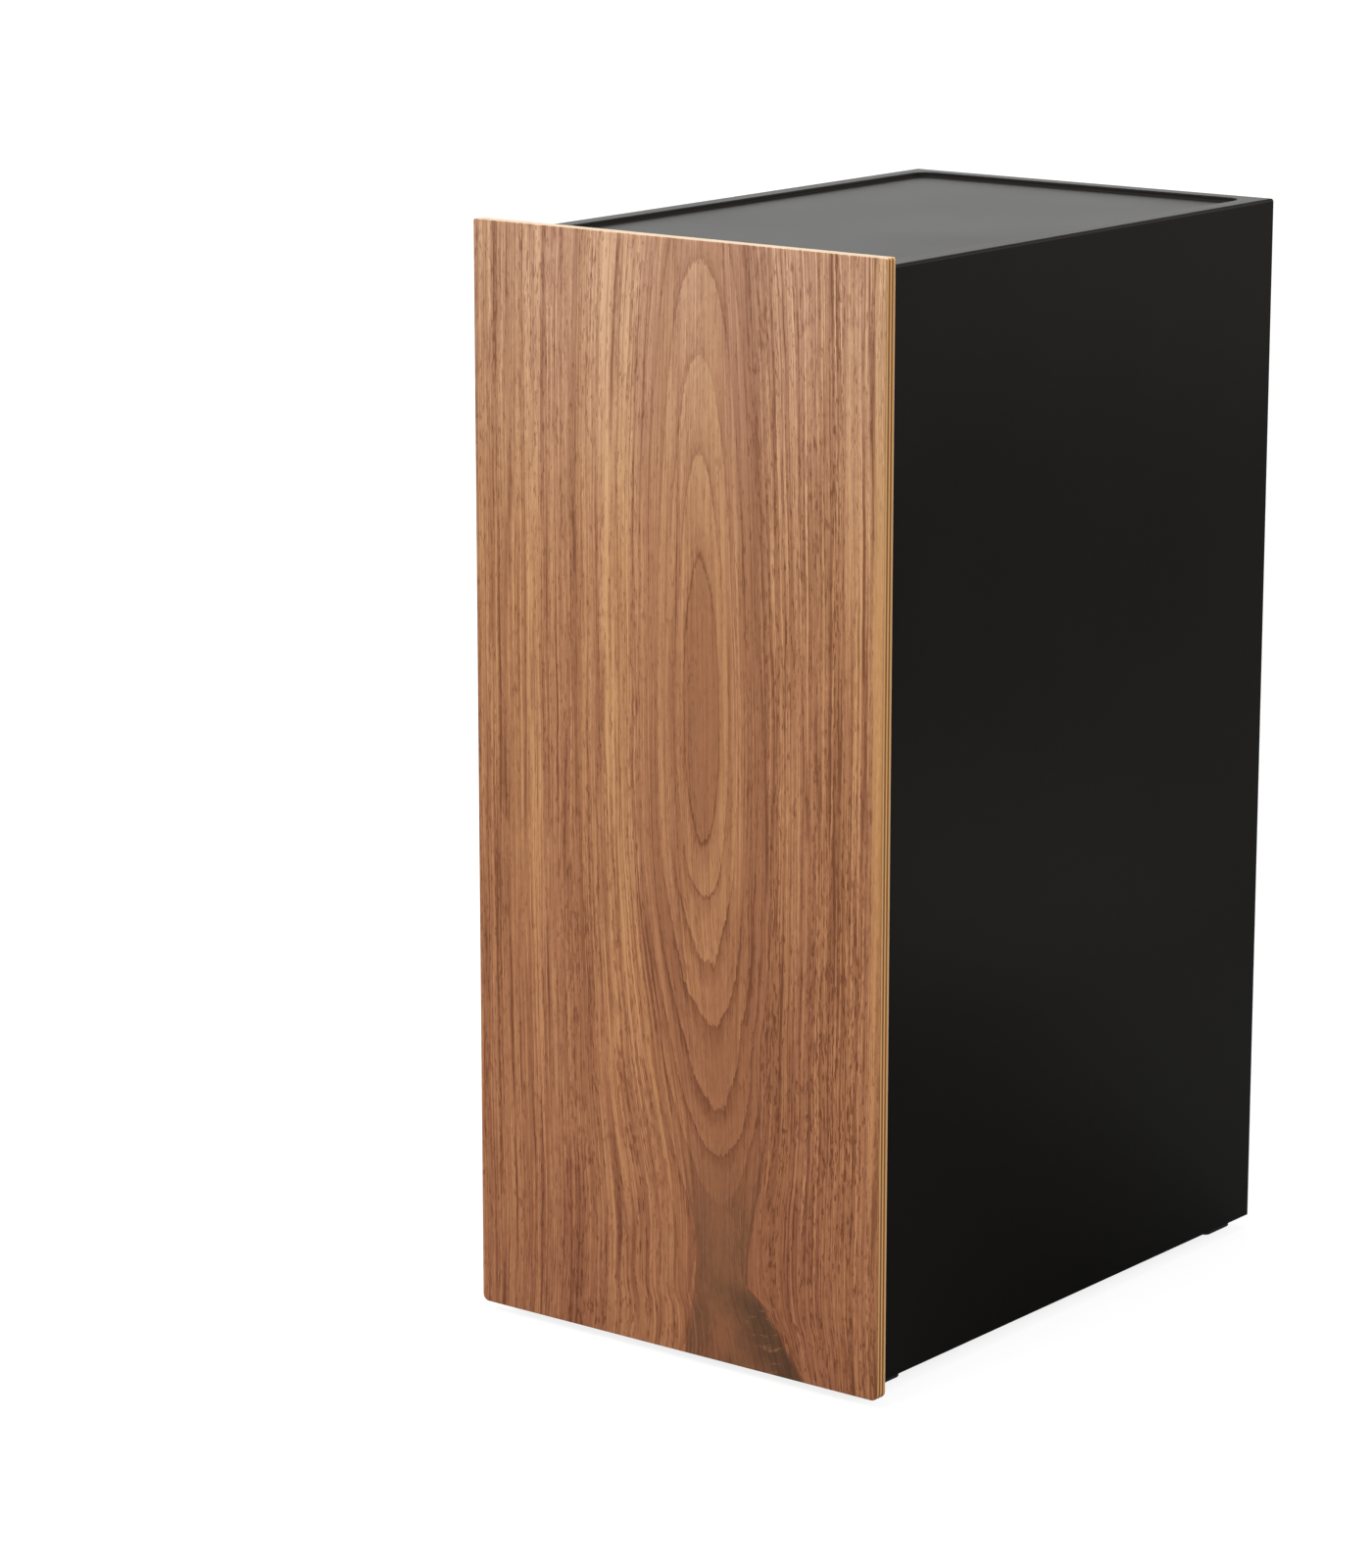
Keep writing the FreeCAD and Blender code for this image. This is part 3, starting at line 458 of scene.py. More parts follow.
    def grow_fibres(self):
        """Streaks, threads, thin dark seams and short open pores: boldest right of the oval, faint in it."""
        streak = self.along_grain(0.36, 0.0016, roughness=0.6)
        self.thread = self.along_grain(0.80, 0.0034, roughness=0.6)
        fibre = self.along_grain(1.7, 0.012)
        seam = self.ramp(self.along_grain(0.17, 0.0014, offset=7).math("ABSOLUTE"), 0.048, 0.008)
        cross_seam = self.along_grain(0.29, 0.0020, offset=31).math("ABSOLUTE")
        seam = seam + self.ramp(cross_seam, 0.055, 0.012) * 0.8
        seam = seam * self.ramp(self.along_grain(0.25, 0.016, 2.0, y_step=5), -0.20, 0.12)
        seam = seam * self.ramp(self.side, 8, 24)
        dash = self.along_grain(1.2, 0.15, offset=40)
        crowd = self.along_grain(0.12, 0.004, 2.0, offset=9)
        self.pore = self.ramp(dash + crowd * 0.35 + self.early * 0.03, 0.08, 0.19)
        mottle = self.noise(self.point(self.x * 0.34, self.y, self.z * 0.14), 1.0, 3.0, 0.65) - 0.5
        open_grain = 0.62 + self.ramp(self.side_step, 24, 44) * self.ramp(self.z, 330, 200) * 0.30
        dark = self.pore * open_grain + seam * 0.62
        self.fine = streak * 0.60 + self.thread * 1.25 + fibre * 1.5 - dark + mottle * 0.75 + 0.10

    def strips(self):
        """Broad strips of tone, from the pith outwards, on the left and on the right."""
        reach_share = self.ring_reach / 200
        left_tone = self.node("ShaderNodeValToRGB", {"stops": [
            (0.1, 0.2), (0.17, 0.6), (0.2, 0.45), (0.22, 0.1), (0.3, 0.5), (0.36, 1.0), (0.44, 0.5),
            (0.48, 0.4), (0.52, 0.1), (0.57, 0.3), (0.63, 0.4), (0.67, 0.9), (0.75, 0.5), (0.8, 0.1),
            (0.84, 0.4), (0.92, 0.2)]}, {0: reach_share})
        right_tone = self.node("ShaderNodeValToRGB", {"stops": [
            (0.1, 0.2), (0.13, 0.6), (0.16, 0.5), (0.19, 0.1), (0.23, 0.0), (0.27, 0.0), (0.35, 0.3),
            (0.39, 0.1), (0.43, 0.3), (0.47, 0.1), (0.5, 0.3), (0.53, 0.1), (0.6, 0.5), (0.66, 0.5)]},
            {0: reach_share})
        rightward = self.ramp(self.side_step, -20, 20)
        strip = left_tone + (right_tone - left_tone) * rightward
        even = self.ramp(self.z, 300, 110) * self.ramp(self.side, 26, 44)
        strip = strip + (0.95 - rightward * 0.53 - strip) * even * 0.8
        straw_band = self.ramp(self.side_step, -86, -74) * self.ramp(self.side_step, -46, -58)
        dark_band = self.ramp(self.side_step, 26, 36) * self.ramp(self.side_step, 64, 54)
        return strip * (0.36 + self.ramp(self.z, 60, 320) * 0.24) + straw_band * 0.16 - dark_band * 0.15

    def toned(self):
        """The veneer's colour from its tone: deep brown where that is low, heartwood brown, then straw."""
        early_depth = 0.14 + self.near_pith * (self.faint + self.vees * 2.4) * 0.16
        inside_first = self.ramp(self.ring_reach, FIRST_RING + 0.6, FIRST_RING - 0.6)
        years = self.rim * 0.16 - self.line * 0.72 - self.early * early_depth - inside_first * 0.38
        bold = 0.72 + self.ramp(self.side, 25, 60) * 0.42 + self.ramp(self.side_step, 38, 62) * 0.24
        patch = self.noise(self.point(self.x * 0.02, self.y, self.z * 0.01), 1.0, 2.0) - 0.5
        tone = self.strips() + self.fine * bold + years + patch * 0.25 + 0.20
        veneer = self.mix(self.ramp(tone, -1.05, 0.50), DEEP_TONE, HEART_TONE)
        return self.mix(self.ramp(tone, 0.15, 1.35), veneer, STRAW_TONE)

    def with_heartwood(self, veneer):
        """Adds the dark heartwood, its fine dark edges and the pale hair-like fibres in its flare."""
        x, y, z = self.x, self.y, self.z
        shade = self.ramp(self.to_flare, 40, 12) * self.ramp(z, 68, 46)
        ember = self.ramp(x - z * 0.4, 14, 24) * self.ramp(x - z * 0.4, 42, 30) * self.ramp(z, 46, 20)
        hair_spot = self.point((x + z * 0.62) * 0.09 + self.ripple, y, (z - x * 0.30) * 0.55)
        hair = self.ramp(self.noise(hair_spot, 1.0, 2.0, 0.6), 0.55, 0.65)
        hair = hair * self.ramp((x - z * 0.5 - 58).math("ABSOLUTE"), 26, 12) * shade
        smoke = self.noise(self.point(x * 0.09, y, z * 0.045), 1.0, 4.0, 0.65)
        tone = self.mix(shade, colour(128, 91, 60), colour(98, 72, 46))
        tone = self.mix(ember * 0.8, tone, colour(148, 98, 65))
        tone = self.mix(hair * 0.8, tone, colour(164, 122, 88))
        tone = self.mix(self.ramp(smoke - self.fine * 0.3, 0.36, 0.70) * 0.7, tone, colour(78, 54, 38))
        veneer = self.mix(self.heart * (0.74 + shade * 0.20), veneer, tone)
        edge_right = self.ramp((self.to_flare + 0.6).math("ABSOLUTE"), 1.7, 0.3) * self.ramp(z, 205, 150)
        edge_left = self.ramp((self.from_left + 0.6).math("ABSOLUTE"), 1.4, 0.3) * self.ramp(z, 165, 120)
        return self.mix(edge_right * 0.55 + edge_left * 0.45, veneer, colour(92, 58, 38))

    def sapwood_and_painted_light(self, veneer):
        """Adds pale sapwood by the right edge, then painted light: paler and greyer upwards as painted light
        and sheen from above, and darker at its foot as painted shade.
        """
        sapwood = self.ramp(self.x + self.sway * 4 + self.thread * 2, 151.6, 153.2)
        sapwood = sapwood * (0.14 + self.ramp(self.z, 90, 400) * 0.52 - self.ramp(self.z, 500, 700) * 0.34)
        veneer = self.mix(sapwood, veneer, colour(190, 141, 88))
        # Painted light: paler upwards as if lit from above, and greyer near the top as a painted sheen.
        painted_light_from_above = self.mix(self.ramp(self.z, 0, 1100), (0.985, 0.875, 0.86, 1), (1.30, 1.58, 1.65, 1))
        veneer = self.mix(1.0, veneer, painted_light_from_above, "MULTIPLY")
        veneer = self.mix(self.ramp(self.z, 460, 760), veneer, (1.04, 1.13, 1.48, 1), "MULTIPLY")
        # Painted shade: darker at its foot.
        veneer = self.mix(self.ramp(self.z, 240, 0), veneer, (0.945, 0.93, 0.93, 1), "MULTIPLY")
        blush = self.ramp(self.along_grain(0.06, 0.002, 2.0, offset=3), -0.15, 0.15)
        return self.mix(blush, veneer, (1.0, 0.99, 1.055, 1), "MULTIPLY")

    def over_plies(self, veneer):
        """Lays the veneers over the cores, each turned across the one before, for the sawn edges."""
        x, y, z = self.x, self.y, self.z
        depth = y - self.low.y
        thick = self.high.y - self.low.y
        ply = (depth - VENEER) / ((thick - 2 * VENEER) / CORE_PLIES)
        across = (ply / 2).math("FRACT").math("GREATER_THAN", 0.5)
        glue = self.ramp((ply.math("FRACT") - 0.5).math("ABSOLUTE"), 0.41, 0.5)
        edge_grain = self.noise(self.point(x * 0.05, y * 2.4, z * 0.05), 1.0, 3.0, 0.6)
        edge_cells = self.noise(self.point(x * 1.4, y * 2.0, z * 1.4), 1.0, 2.0, 0.6)
        long_grain = self.mix(edge_grain, colour(208, 154, 98), colour(236, 184, 122))
        end_grain = self.mix(edge_cells, colour(128, 82, 38), colour(158, 106, 54))
        core = self.mix(glue * 0.55, self.mix(across, long_grain, end_grain), colour(104, 66, 34))
        self.inside = self.ramp(depth, VENEER, VENEER + 0.08)
        self.inside = self.inside * self.ramp(depth, thick - VENEER, thick - VENEER - 0.08)
        backing = self.mix(edge_grain, colour(196, 154, 116), colour(222, 184, 146))
        wood = self.mix(self.ramp(depth, thick - VENEER - 0.1, thick - VENEER), veneer, backing)
        wood = self.mix(self.inside, wood, core)
        # Painted highlight: the bare core along the top edge is painted cream, as if lit from above.
        painted_top_highlight = self.ramp(z, self.high.z - 0.25, self.high.z - 0.05) * self.inside
        return self.mix(painted_top_highlight * 0.85, wood, colour(178, 168, 148))


def walnut_plywood():
    finish = Walnut(*in_mm("plywood_front"))
    finish.lay_rings()
    finish.mark_heartwood()
    finish.count_years()
    finish.grow_fibres()
    veneer = finish.sapwood_and_painted_light(finish.with_heartwood(finish.toned()))
    open_pores = finish.ramp(finish.pore + finish.line * 0.5, 0.0, 1.0)
    finish.set(Base_Color=finish.over_plies(veneer), Specular_IOR_Level=0.22)
    finish.set(Roughness=open_pores * 0.14 + 0.44 + finish.inside * 0.2)
    finish.bump(1 - finish.pore * 0.6 - finish.line * 0.25 + finish.thread * 0.3, 0.06)
    return finish.material


board = board_skin(walnut_plywood())
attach(board, "carrier")
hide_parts("plywood_front")


# ---- Steel case ------------------------------------------------------------------------------------------
# Sides and top are one sheet of steel with a shallow tray pressed into the top, folded back round both
# openings, and powder coated black: a fine orange peel, satin, with a sheen at low angles.
SHEET = 1.2
FOLD = 2.0
RETURN = 12.0
RIM = 14.0
RECESS = 3.0
RECESS_CORNER = 12.0
RECESS_LIP = 0.9
HOLD = 1.0                   # how far past a bend the flat is held
SHARP = 0.05                 # radius of a corner that is left sharp
END_REACH = 0.1              # how near the end a face lies that belongs to it


def powder_coat(name):
    finish = Finish(name)
    x, y, z = (finish.place(axis) for axis in "XYZ")
    spot = finish.point(x, y, z)
    peel = finish.noise(spot, 0.9, 2.0, 0.5)
    specks = finish.noise(spot, 5.0, 1.0, 0.5)
    cloud = finish.noise(spot, 0.008, 2.0)
    dust = finish.ramp(finish.noise(spot, 2.2, 1.0), 0.76, 0.84)
    base = finish.mix(cloud, (0.0095, 0.0084, 0.0074, 1), (0.014, 0.0124, 0.0110, 1))
    finish.set(Base_Color=finish.mix(dust * 0.10, base, (0.12, 0.115, 0.11, 1)),
               Roughness=0.30 + cloud * 0.06 + specks * 0.06,
               Specular_IOR_Level=0.03)
    finish.bump(peel * 0.7 + specks * 0.3, 0.02)
    return finish.material


def case_skin(material):
    low, high = in_mm("case_wrap")
    opening_half = high.x - RETURN
    opening_top = high.z - RETURN
    arc = [math.pi / 2 * step / 4 for step in range(5)]
    lip = [math.pi / 2 * step / 3 for step in range(4)]
    levels = []                                     # inset from the outside, corner radius, height
    floor_inset = RIM + 2 * RECESS_LIP
    levels.append((floor_inset + 2 * HOLD, RECESS_CORNER - 2 * RECESS_LIP - 2 * HOLD, high.z - RECESS))
    for turn in lip:
        inset = floor_inset - RECESS_LIP * math.sin(turn)
        rise = RECESS_LIP * (1 - math.cos(turn))
        levels.append((inset, RECESS_CORNER + RIM - inset, high.z - RECESS + rise))
    for turn in lip:
        inset = RIM + RECESS_LIP * math.cos(turn)
        levels.append((inset, RECESS_CORNER + RIM - inset, high.z - RECESS_LIP * (1 - math.sin(turn))))
    levels.append((RIM - HOLD, RECESS_CORNER + HOLD, high.z))
    levels.append((FOLD + HOLD, SHARP, high.z))
    for turn in arc:
        levels.append((FOLD * (1 - math.sin(turn)), max(SHARP, FOLD * math.sin(turn)),
                       high.z - FOLD * (1 - math.cos(turn))))
    levels += [(0, FOLD, high.z - FOLD - HOLD), (0, FOLD, opening_top), (0, FOLD, low.z)]
    rings = []
    for inset, radius, z in levels:
        station = min(opening_half, high.x - inset - radius - 2 * HOLD)
        outline = rounded_outline(low.x + inset, high.x - inset, low.y + inset, high.y - inset, radius,
                                  stations=(-station, station))
        rings.append([(x, y, z) for x, y in outline])

    def in_opening(face_middle):
        at_end = min(abs(face_middle.y - low.y), abs(face_middle.y - high.y)) < END_REACH
        return at_end and abs(face_middle.x) < opening_half and face_middle.z < opening_top

    piece = skin_over("case_shell", rings, material, close_last=False,
                      keep=lambda face_middle: not in_opening(face_middle))
    sheet = piece.modifiers.new("sheet", "SOLIDIFY")
    sheet.thickness = SHEET * MM
    sheet.offset = -1
    sheet.use_even_offset = True
    return piece


def as_plain_mesh(piece):
    """Applies a piece's modifiers and keeps the result as its mesh."""
    bpy.context.view_layer.update()
    evaluated = piece.evaluated_get(bpy.context.evaluated_depsgraph_get())
    plain = bpy.data.meshes.new_from_object(evaluated)
    piece.modifiers.clear()
    piece.data = plain
    return piece


case_coat = powder_coat("black_powder_coat")
case_shell = as_plain_mesh(case_skin(case_coat))
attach(case_shell, "case")
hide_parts("case_wrap")
for node in ("back_panel", "base_pan", "post_front_left", "post_front_right", "post_rear_left",
             "post_rear_right", "bridge_front", "bridge_rear", "counterweight"):
    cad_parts[node].data.materials[0] = case_coat


# ---- Feet ------------------------------------------------------------------------------------------------
# Four moulded nylon feet with cut corners, each on a threaded steel stud held by a nut inside the base.
# They were moulded with a fine spark texture and soft edges.
FEET = ("front_left", "front_right", "rear_left", "rear_right")
FOOT_CORNER = 3.7
FOOT_EASE = 0.8
STUD_RADIUS = 4.0
STUD_SUNK = 1.0              # how far it is moulded into the foot
THREAD_PITCH = 1.25
THREAD_DEPTH = 0.6
THREAD_CREST = 0.1           # flat along the thread's crest
NUT_FLATS = 13.0
NUT_HEIGHT = 6.5
NUT_FACE = 6.24              # radius of the flat round face inside the chamfer
NUT_CHAMFER = 1.73           # how much wider the chamfer gets for each millimetre down
NUT_CHAMFER_STEPS = (0.0, 0.25, 0.5, 0.9)
NUT_MOUTH = 0.7              # countersink of its thread
NUT_THREAD_END = 0.6         # where its thread stops, in from either face
NUT_THREAD_ROOM = 0.05       # between its crests and the stud's
NUT_THREAD_ROOT = 0.35       # how far its thread is cut past the stud


def moulded_nylon():
    finish = Finish("black_nylon")
    spot = finish.point(*(finish.place(axis) for axis in "XYZ"))
    spark = finish.noise(spot, 3.0, 2.0, 0.6)
    finish.set(Base_Color=finish.mix(spark, (0.010, 0.010, 0.010, 1), (0.018, 0.018, 0.018, 1)),
               Roughness=0.45 + spark * 0.15, Specular_IOR_Level=0.3)
    finish.bump(spark, 0.03)
    return finish.material


def zinc_plate():
    finish = Finish("zinc_steel")
    x, y, z = (finish.place(axis) for axis in "XYZ")
    drawn = finish.noise(finish.point(x * 3, y * 0.02, z * 3), 1.0, 3.0, 0.6)
    bloom = finish.noise(finish.point(x, y, z), 0.05, 3.0, 0.6)
    base = finish.mix(bloom, (0.50, 0.51, 0.53, 1), (0.66, 0.66, 0.65, 1))
    finish.set(Base_Color=finish.mix(drawn * 0.5, base, (0.42, 0.43, 0.45, 1)), Metallic=1.0,
               Roughness=0.24 + drawn * 0.16 + bloom * 0.08)
    finish.bump(drawn, 0.01)
    return finish.material


def ring_of(centre_x, centre_y, z, radius, sides=24):
    turns = [2 * math.pi * side / sides for side in range(sides)]
    return [(centre_x + radius * math.cos(turn), centre_y + radius * math.sin(turn), z) for turn in turns]


def foot_pad(corner):
    """The moulded part of a foot, from the floor up to the case."""
    low, high = in_mm("foot_" + corner)
    rings = []
    for z, inset in eased_steps(low.z, case_bottom, FOOT_EASE):
        outline = rounded_outline(low.x + inset, high.x - inset, low.y + inset, high.y - inset,
                                  FOOT_CORNER - inset * 0.5, steps=3)
        rings.append([(x, y, z) for x, y in outline])
    return skin_over("foot_pad_" + corner, rings, nylon)


def foot_stud(corner):
    """The threaded stud of a foot, through the case's floor."""
    low, high = in_mm("foot_" + corner)
    x, y = (low.x + high.x) / 2, (low.y + high.y) / 2
    rings = [ring_of(x, y, case_bottom - STUD_SUNK, STUD_RADIUS)]
    for turn in range(int((high.z - case_bottom) / THREAD_PITCH)):
        crest = case_bottom + turn * THREAD_PITCH
        rings.append(ring_of(x, y, crest + THREAD_CREST, STUD_RADIUS))
        rings.append(ring_of(x, y, crest + THREAD_PITCH / 2, STUD_RADIUS - THREAD_DEPTH))
    rings.append(ring_of(x, y, high.z - THREAD_DEPTH, STUD_RADIUS))
    rings.append(ring_of(x, y, high.z, STUD_RADIUS - THREAD_DEPTH))
    return skin_over("foot_stud_" + corner, rings, zinc)


nylon = moulded_nylon()
zinc = zinc_plate()
case_bottom = in_mm("case_wrap")[0].z
for corner in FEET:
    foot = foot_pad(corner)
    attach(foot, "case")
    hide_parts("foot_" + corner)
    stud = foot_stud(corner)
    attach(stud, "case")


def hexagon_reach(turn, flats):
    """How far a hexagon's side is from its middle, in the direction of turn."""
    return flats / 2 / math.cos((turn + math.pi / 6) % (math.pi / 3) - math.pi / 6)


def nut_master(material):
    """A chamfered hexagon nut round the origin, with its thread inside."""
    turns = [2 * math.pi * side / 48 for side in range(48)]
    levels = []                                     # height, reach of the chamfer or thread, outside or not
    for rise in NUT_CHAMFER_STEPS:
        levels.append((rise, NUT_FACE + rise * NUT_CHAMFER, True))
    for rise in reversed(NUT_CHAMFER_STEPS):
        levels.append((NUT_HEIGHT - rise, NUT_FACE + rise * NUT_CHAMFER, True))
    levels.append((NUT_HEIGHT, STUD_RADIUS + NUT_MOUTH, False))
    height = NUT_HEIGHT - NUT_THREAD_END
    while height > NUT_THREAD_END:
        levels.append((height, STUD_RADIUS + NUT_THREAD_ROOM, False))
        levels.append((height - THREAD_PITCH / 2, STUD_RADIUS + NUT_THREAD_ROOT, False))
        height -= THREAD_PITCH
    levels.append((0.0, STUD_RADIUS + NUT_MOUTH, False))
    levels.append(levels[0])
    rings = []
    for height, reach, outside in levels:
        reaches = [min(reach, hexagon_reach(turn, NUT_FLATS)) if outside else reach for turn in turns]
        rings.append([(far * math.cos(turn), far * math.sin(turn), height)
                      for turn, far in zip(turns, reaches)])
    return skin_over("nut_master", rings, material, close_first=False, close_last=False)


class Repeat(Nodes):
    """A Geometry Nodes tree that repeats a shape; its named inputs, with their kinds, include Material."""

    def __init__(self, name, **inputs):
        super().__init__(bpy.data.node_groups.new(name, "GeometryNodeTree"))
        for socket, kind in inputs.items():
            self.tree.interface.new_socket(socket, in_out="INPUT", socket_type="NodeSocket" + kind)
        self.tree.interface.new_socket("Geometry", in_out="OUTPUT", socket_type="NodeSocketGeometry")

    def given(self, name):
        return self.node("NodeGroupInput", output=name)

    def hand_out(self, instances):
        """Makes the instances one mesh in the given material, and gives back the finished tree."""
        real = self.node("GeometryNodeRealizeInstances", values={"Geometry": instances})
        painted = self.node("GeometryNodeSetMaterial", values={
            "Geometry": real, "Material": self.given("Material")})
        self.node("NodeGroupOutput", values={"Geometry": painted})
        return self.tree


def copies_tree(name):
    """A copy of the master's mesh on every point of the piece."""
    repeat = Repeat(name, Places="Geometry", Master="Object", Size="Float", Material="Material")
    shape = repeat.node("GeometryNodeObjectInfo", values={"Object": repeat.given("Master")},
                        output="Geometry")
    each = repeat.node("GeometryNodeInstanceOnPoints", values={
        "Points": repeat.given("Places"), "Instance": shape, "Scale": repeat.given("Size")})
    return repeat.hand_out(each)


def grown(name, tree, values, points=()):
    """Piece made by a Geometry Nodes tree on a few points in millimetres, kept as a plain mesh."""
    seed = bpy.data.meshes.new(name)
    seed.from_pydata([tuple(Vector(point) * MM) for point in points], [], [])
    piece = bpy.data.objects.new(name, seed)
    bpy.context.scene.collection.objects.link(piece)
    maker = piece.modifiers.new(name, "NODES")
    maker.node_group = tree
    for item in tree.interface.items_tree:
        if item.in_out == "INPUT" and item.name in values:
            maker[item.identifier] = values[item.name]
    return as_plain_mesh(piece)


def copies(name, master, points, material):
    """One piece of many copies of a master, which is then thrown away."""
    piece = grown(name, copies_tree(name), {"Master": master, "Size": 1.0, "Material": material}, points)
    bpy.data.objects.remove(master)
    return piece


nut_seat = in_mm("foot_nuts")[0].z
studs = [sum(in_mm("foot_" + corner), Vector()) / 2 for corner in FEET]
nuts = copies("foot_stud_nuts", nut_master(zinc), [(stud.x, stud.y, nut_seat) for stud in studs], zinc)
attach(nuts, "case")
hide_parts("foot_nuts")


# ---- Ball slides -----------------------------------------------------------------------------------------
# Three full-extension slides of rolled steel strip, zinc plated: an outer, a middle and an inner rail, with
# two rows of hardened balls between each pair, spaced by thin pressed cages.
BALL = 3.2
BALL_SEGMENTS = 20
BALL_RINGS = 12
BALLS_PER_ROW = 5
CAGE_SHEET = 0.5


def polished_steel():
    finish = Finish("bearing_steel")
    spot = finish.point(*(finish.place(axis) for axis in "XYZ"))
    smear = finish.noise(spot, 0.6, 2.0, 0.6)
    finish.set(Base_Color=finish.mix(smear, (0.62, 0.62, 0.63, 1), (0.74, 0.74, 0.74, 1)), Metallic=1.0,
               Roughness=0.08 + smear * 0.08)
    return finish.material


def ball_rows_tree():
    """Two rows of balls, either side of a line of places."""
    repeat = Repeat("ball_rows", Start="Vector", Step="Vector", Across="Vector", Count="Int",
                    Diameter="Float", Material="Material")
    line = repeat.node("GeometryNodeMeshLine", values={
        "Count": repeat.given("Count"), "Start Location": repeat.given("Start"),
        "Offset": repeat.given("Step")})
    ball = repeat.node("GeometryNodeMeshUVSphere", values={
        "Segments": BALL_SEGMENTS, "Rings": BALL_RINGS, "Radius": repeat.given("Diameter") * 0.5})
    ball = repeat.node("GeometryNodeSetShadeSmooth", values={"Geometry": ball})
    balls = repeat.node("GeometryNodeInstanceOnPoints", values={"Points": line, "Instance": ball})
    rows = []
    for sign in (1, -1):
        reach = repeat.node("ShaderNodeVectorMath", {"operation": "SCALE"},
                            {0: repeat.given("Across"), "Scale": sign})
        rows.append(repeat.node("GeometryNodeTransform", values={"Geometry": balls, "Translation": reach}))
    both = repeat.node("GeometryNodeJoinGeometry", values={"Geometry": rows})
    return repeat.hand_out(both)


ball_tree = ball_rows_tree()
ball_steel = polished_steel()
for slide in ("lower_left", "lower_right", "upper"):
    for kind in ("outer", "inner"):
        low, high = in_mm("%s_%s_cage" % (slide, kind))
        span = high - low
        pitch = span.y / BALLS_PER_ROW
        start = (low + high) / 2
        start.y = low.y + pitch / 2
        if slide == "upper":
            across = Vector((span.x / 2 - CAGE_SHEET / 2, 0, 0))
            start.z -= CAGE_SHEET / 2
        else:
            across = Vector((0, 0, span.z / 2 - CAGE_SHEET / 2))
            start.x += CAGE_SHEET / 2 if slide == "lower_left" else -CAGE_SHEET / 2
        balls = grown("%s_%s_balls" % (slide, kind), ball_tree,
                      {"Start": start * MM, "Step": Vector((0, pitch * MM, 0)), "Across": across * MM,
                       "Count": BALLS_PER_ROW, "Diameter": BALL * MM, "Material": ball_steel})
        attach(balls, "%s_%s_balls" % (slide, kind))
    for kind in ("outer_rail", "middle_rail", "inner_rail", "outer_cage", "inner_cage"):
        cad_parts["%s_%s" % (slide, kind)].data.materials[0] = zinc
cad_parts["slide_stops"].data.materials[0] = nylon


# ---- Carrier ---------------------------------------------------------------------------------------------
# Folded steel plates with rows of slots, a deep tray, two shelves hooked in by tabs and a channel along the
# top, all powder coated like the case.
carrier_coat = powder_coat("carrier_powder_coat")
for node in ("front_plate", "rear_plate", "carrier_tray", "top_rail", "lower_shelf", "upper_shelf"):
    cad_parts[node].data.materials[0] = carrier_coat


# ---- Panel screws ----------------------------------------------------------------------------------------
# Six zinc plated pan-head wood screws with hexagon sockets, driven from behind the folded plate into the
# plywood, in two columns.
SCREW_RADIUS = 2.0
SCREW_HEAD_RADIUS = 4.0
SCREW_HEAD = 2.4
SCREW_DOME = 1.6             # height of the head's rounded part
SCREW_FLAT = 2.3             # radius of the flat on the head
SCREW_SOCKET = 2.5           # across its flats
SOCKET_DEPTH = 1.5
SOCKET_EASE = 0.2            # depth of its eased mouth
HEAD_EASE = 0.15             # rounding under the head's rim
SCREW_PITCH = 1.4
ROOT_SHARE = 0.42            # of the pitch, between two threads
THREAD_ROOT = 1.55           # radius between the threads
SHANK = 1.6                  # plain length under the head
TAPER = 2.2                  # length of the point


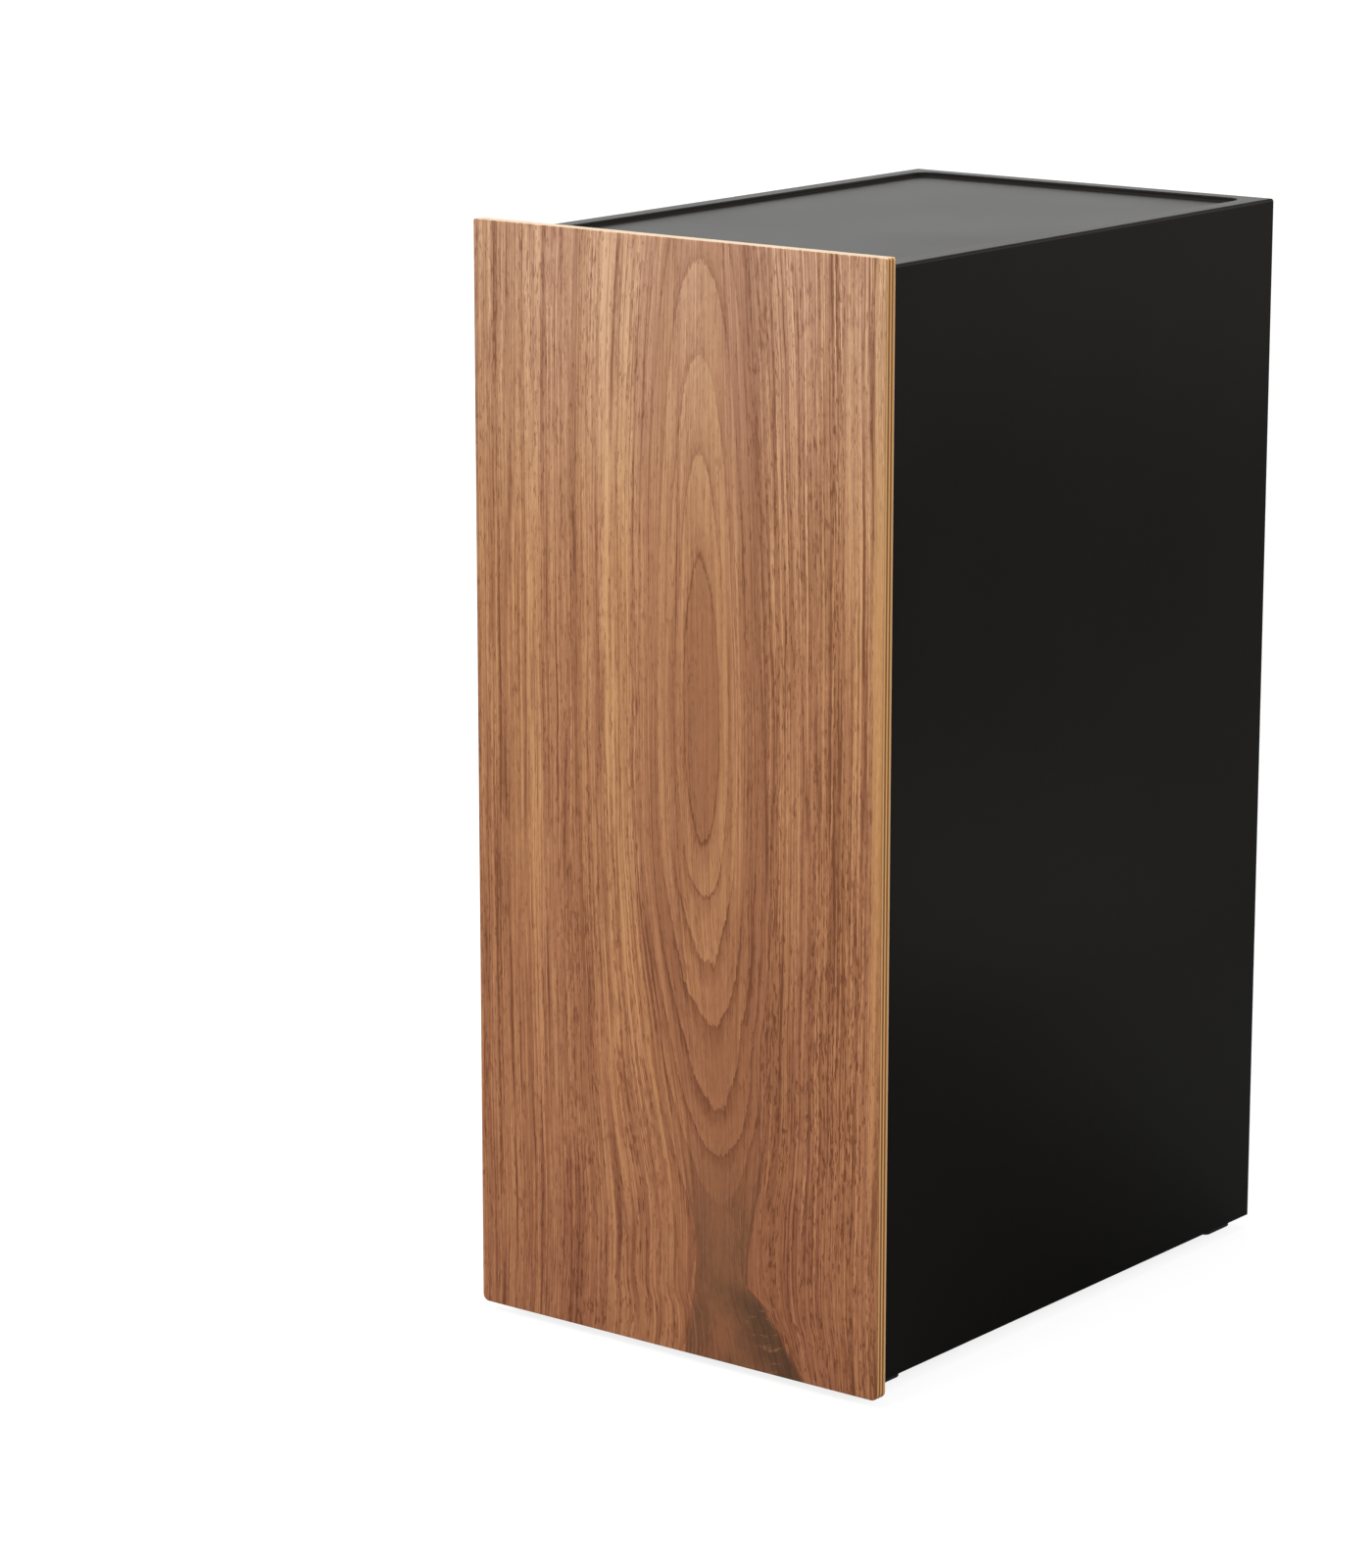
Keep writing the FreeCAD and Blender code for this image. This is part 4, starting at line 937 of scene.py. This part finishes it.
def screw_master(length, material):
    """A screw along Y whose head sits on the origin, with its tip at -length."""
    turns = [2 * math.pi * side / 36 for side in range(36)]

    def ring(depth, reach):
        return [(reach * math.cos(turn), depth, reach * math.sin(turn)) for turn in turns]

    def socket(depth, ease):
        reaches = [hexagon_reach(turn, SCREW_SOCKET + ease) for turn in turns]
        return [(reach * math.cos(turn), depth, reach * math.sin(turn))
                for turn, reach in zip(turns, reaches)]

    rings = [socket(SCREW_HEAD - SOCKET_DEPTH, 0), socket(SCREW_HEAD - SOCKET_EASE, 0),
             socket(SCREW_HEAD, 2 * SOCKET_EASE)]
    for step in range(6):
        turn = math.pi / 2 * step / 5
        rings.append(ring(SCREW_HEAD - SCREW_DOME * (1 - math.cos(turn)),
                          SCREW_FLAT + (SCREW_HEAD_RADIUS - SCREW_FLAT) * math.sin(turn)))
    rings += [ring(HEAD_EASE, SCREW_HEAD_RADIUS), ring(0, SCREW_HEAD_RADIUS - HEAD_EASE),
              ring(0, SCREW_RADIUS)]
    depth = -SHANK
    while depth > TAPER - length:
        rings.append(ring(depth, THREAD_ROOT))
        rings.append(ring(depth - SCREW_PITCH * ROOT_SHARE, THREAD_ROOT))
        rings.append(ring(depth - SCREW_PITCH / 2, SCREW_RADIUS))
        depth -= SCREW_PITCH
    rings += [ring(depth, THREAD_ROOT), ring(0.1 - length, 0.25), ring(-length, 0.08)]
    return skin_over("screw_master", rings, material)


low, high = in_mm("panel_screws")
seat = high.y - SCREW_HEAD
panel_low, panel_high = in_mm("plywood_front")
places = [(x, seat, z) for x in (low.x + SCREW_HEAD_RADIUS, high.x - SCREW_HEAD_RADIUS)
          for z in (low.z + SCREW_HEAD_RADIUS, (panel_low.z + panel_high.z) / 2, high.z - SCREW_HEAD_RADIUS)]
screws = copies("wood_screws", screw_master(seat - low.y, zinc), places, zinc)
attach(screws, "carrier")
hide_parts("panel_screws")


# ---- Bumpers ---------------------------------------------------------------------------------------------
# Four soft self-adhesive pads on the front returns, which the closed front rests against: moulded polymer,
# square with rounded corners.
PAD_HALF = 5.0
PAD_CORNER = 2.0
PAD_EASE = 0.7
PAD_LEAST_CORNER = 0.2


def soft_polymer():
    finish = Finish("soft_polymer")
    spot = finish.point(*(finish.place(axis) for axis in "XYZ"))
    bloom = finish.noise(spot, 1.2, 2.0, 0.6)
    finish.set(Base_Color=finish.mix(bloom, (0.09, 0.09, 0.088, 1), (0.13, 0.13, 0.127, 1)),
               Roughness=0.6 + bloom * 0.2, Specular_IOR_Level=0.3)
    finish.bump(bloom, 0.02)
    return finish.material


def pad_master(thickness, material):
    """A square pad on the XZ plane, soft at its edges, standing towards -Y."""
    rings = []
    for depth, inset in eased_steps(0.0, -thickness, PAD_EASE, hold=0.9):
        outline = rounded_outline(inset - PAD_HALF, PAD_HALF - inset, inset - PAD_HALF, PAD_HALF - inset,
                                  max(PAD_LEAST_CORNER, PAD_CORNER - inset), hold=0.3)
        rings.append([(x, depth, z) for x, z in outline])
    return skin_over("pad_master", rings, material)


low, high = in_mm("bumpers")
polymer = soft_polymer()
places = [(x, high.y, z) for x in (low.x + PAD_HALF, high.x - PAD_HALF)
          for z in (low.z + PAD_HALF, high.z - PAD_HALF)]
pads = copies("bumper_pads", pad_master(high.y - low.y, polymer), places, polymer)
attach(pads, "case")
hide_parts("bumpers")
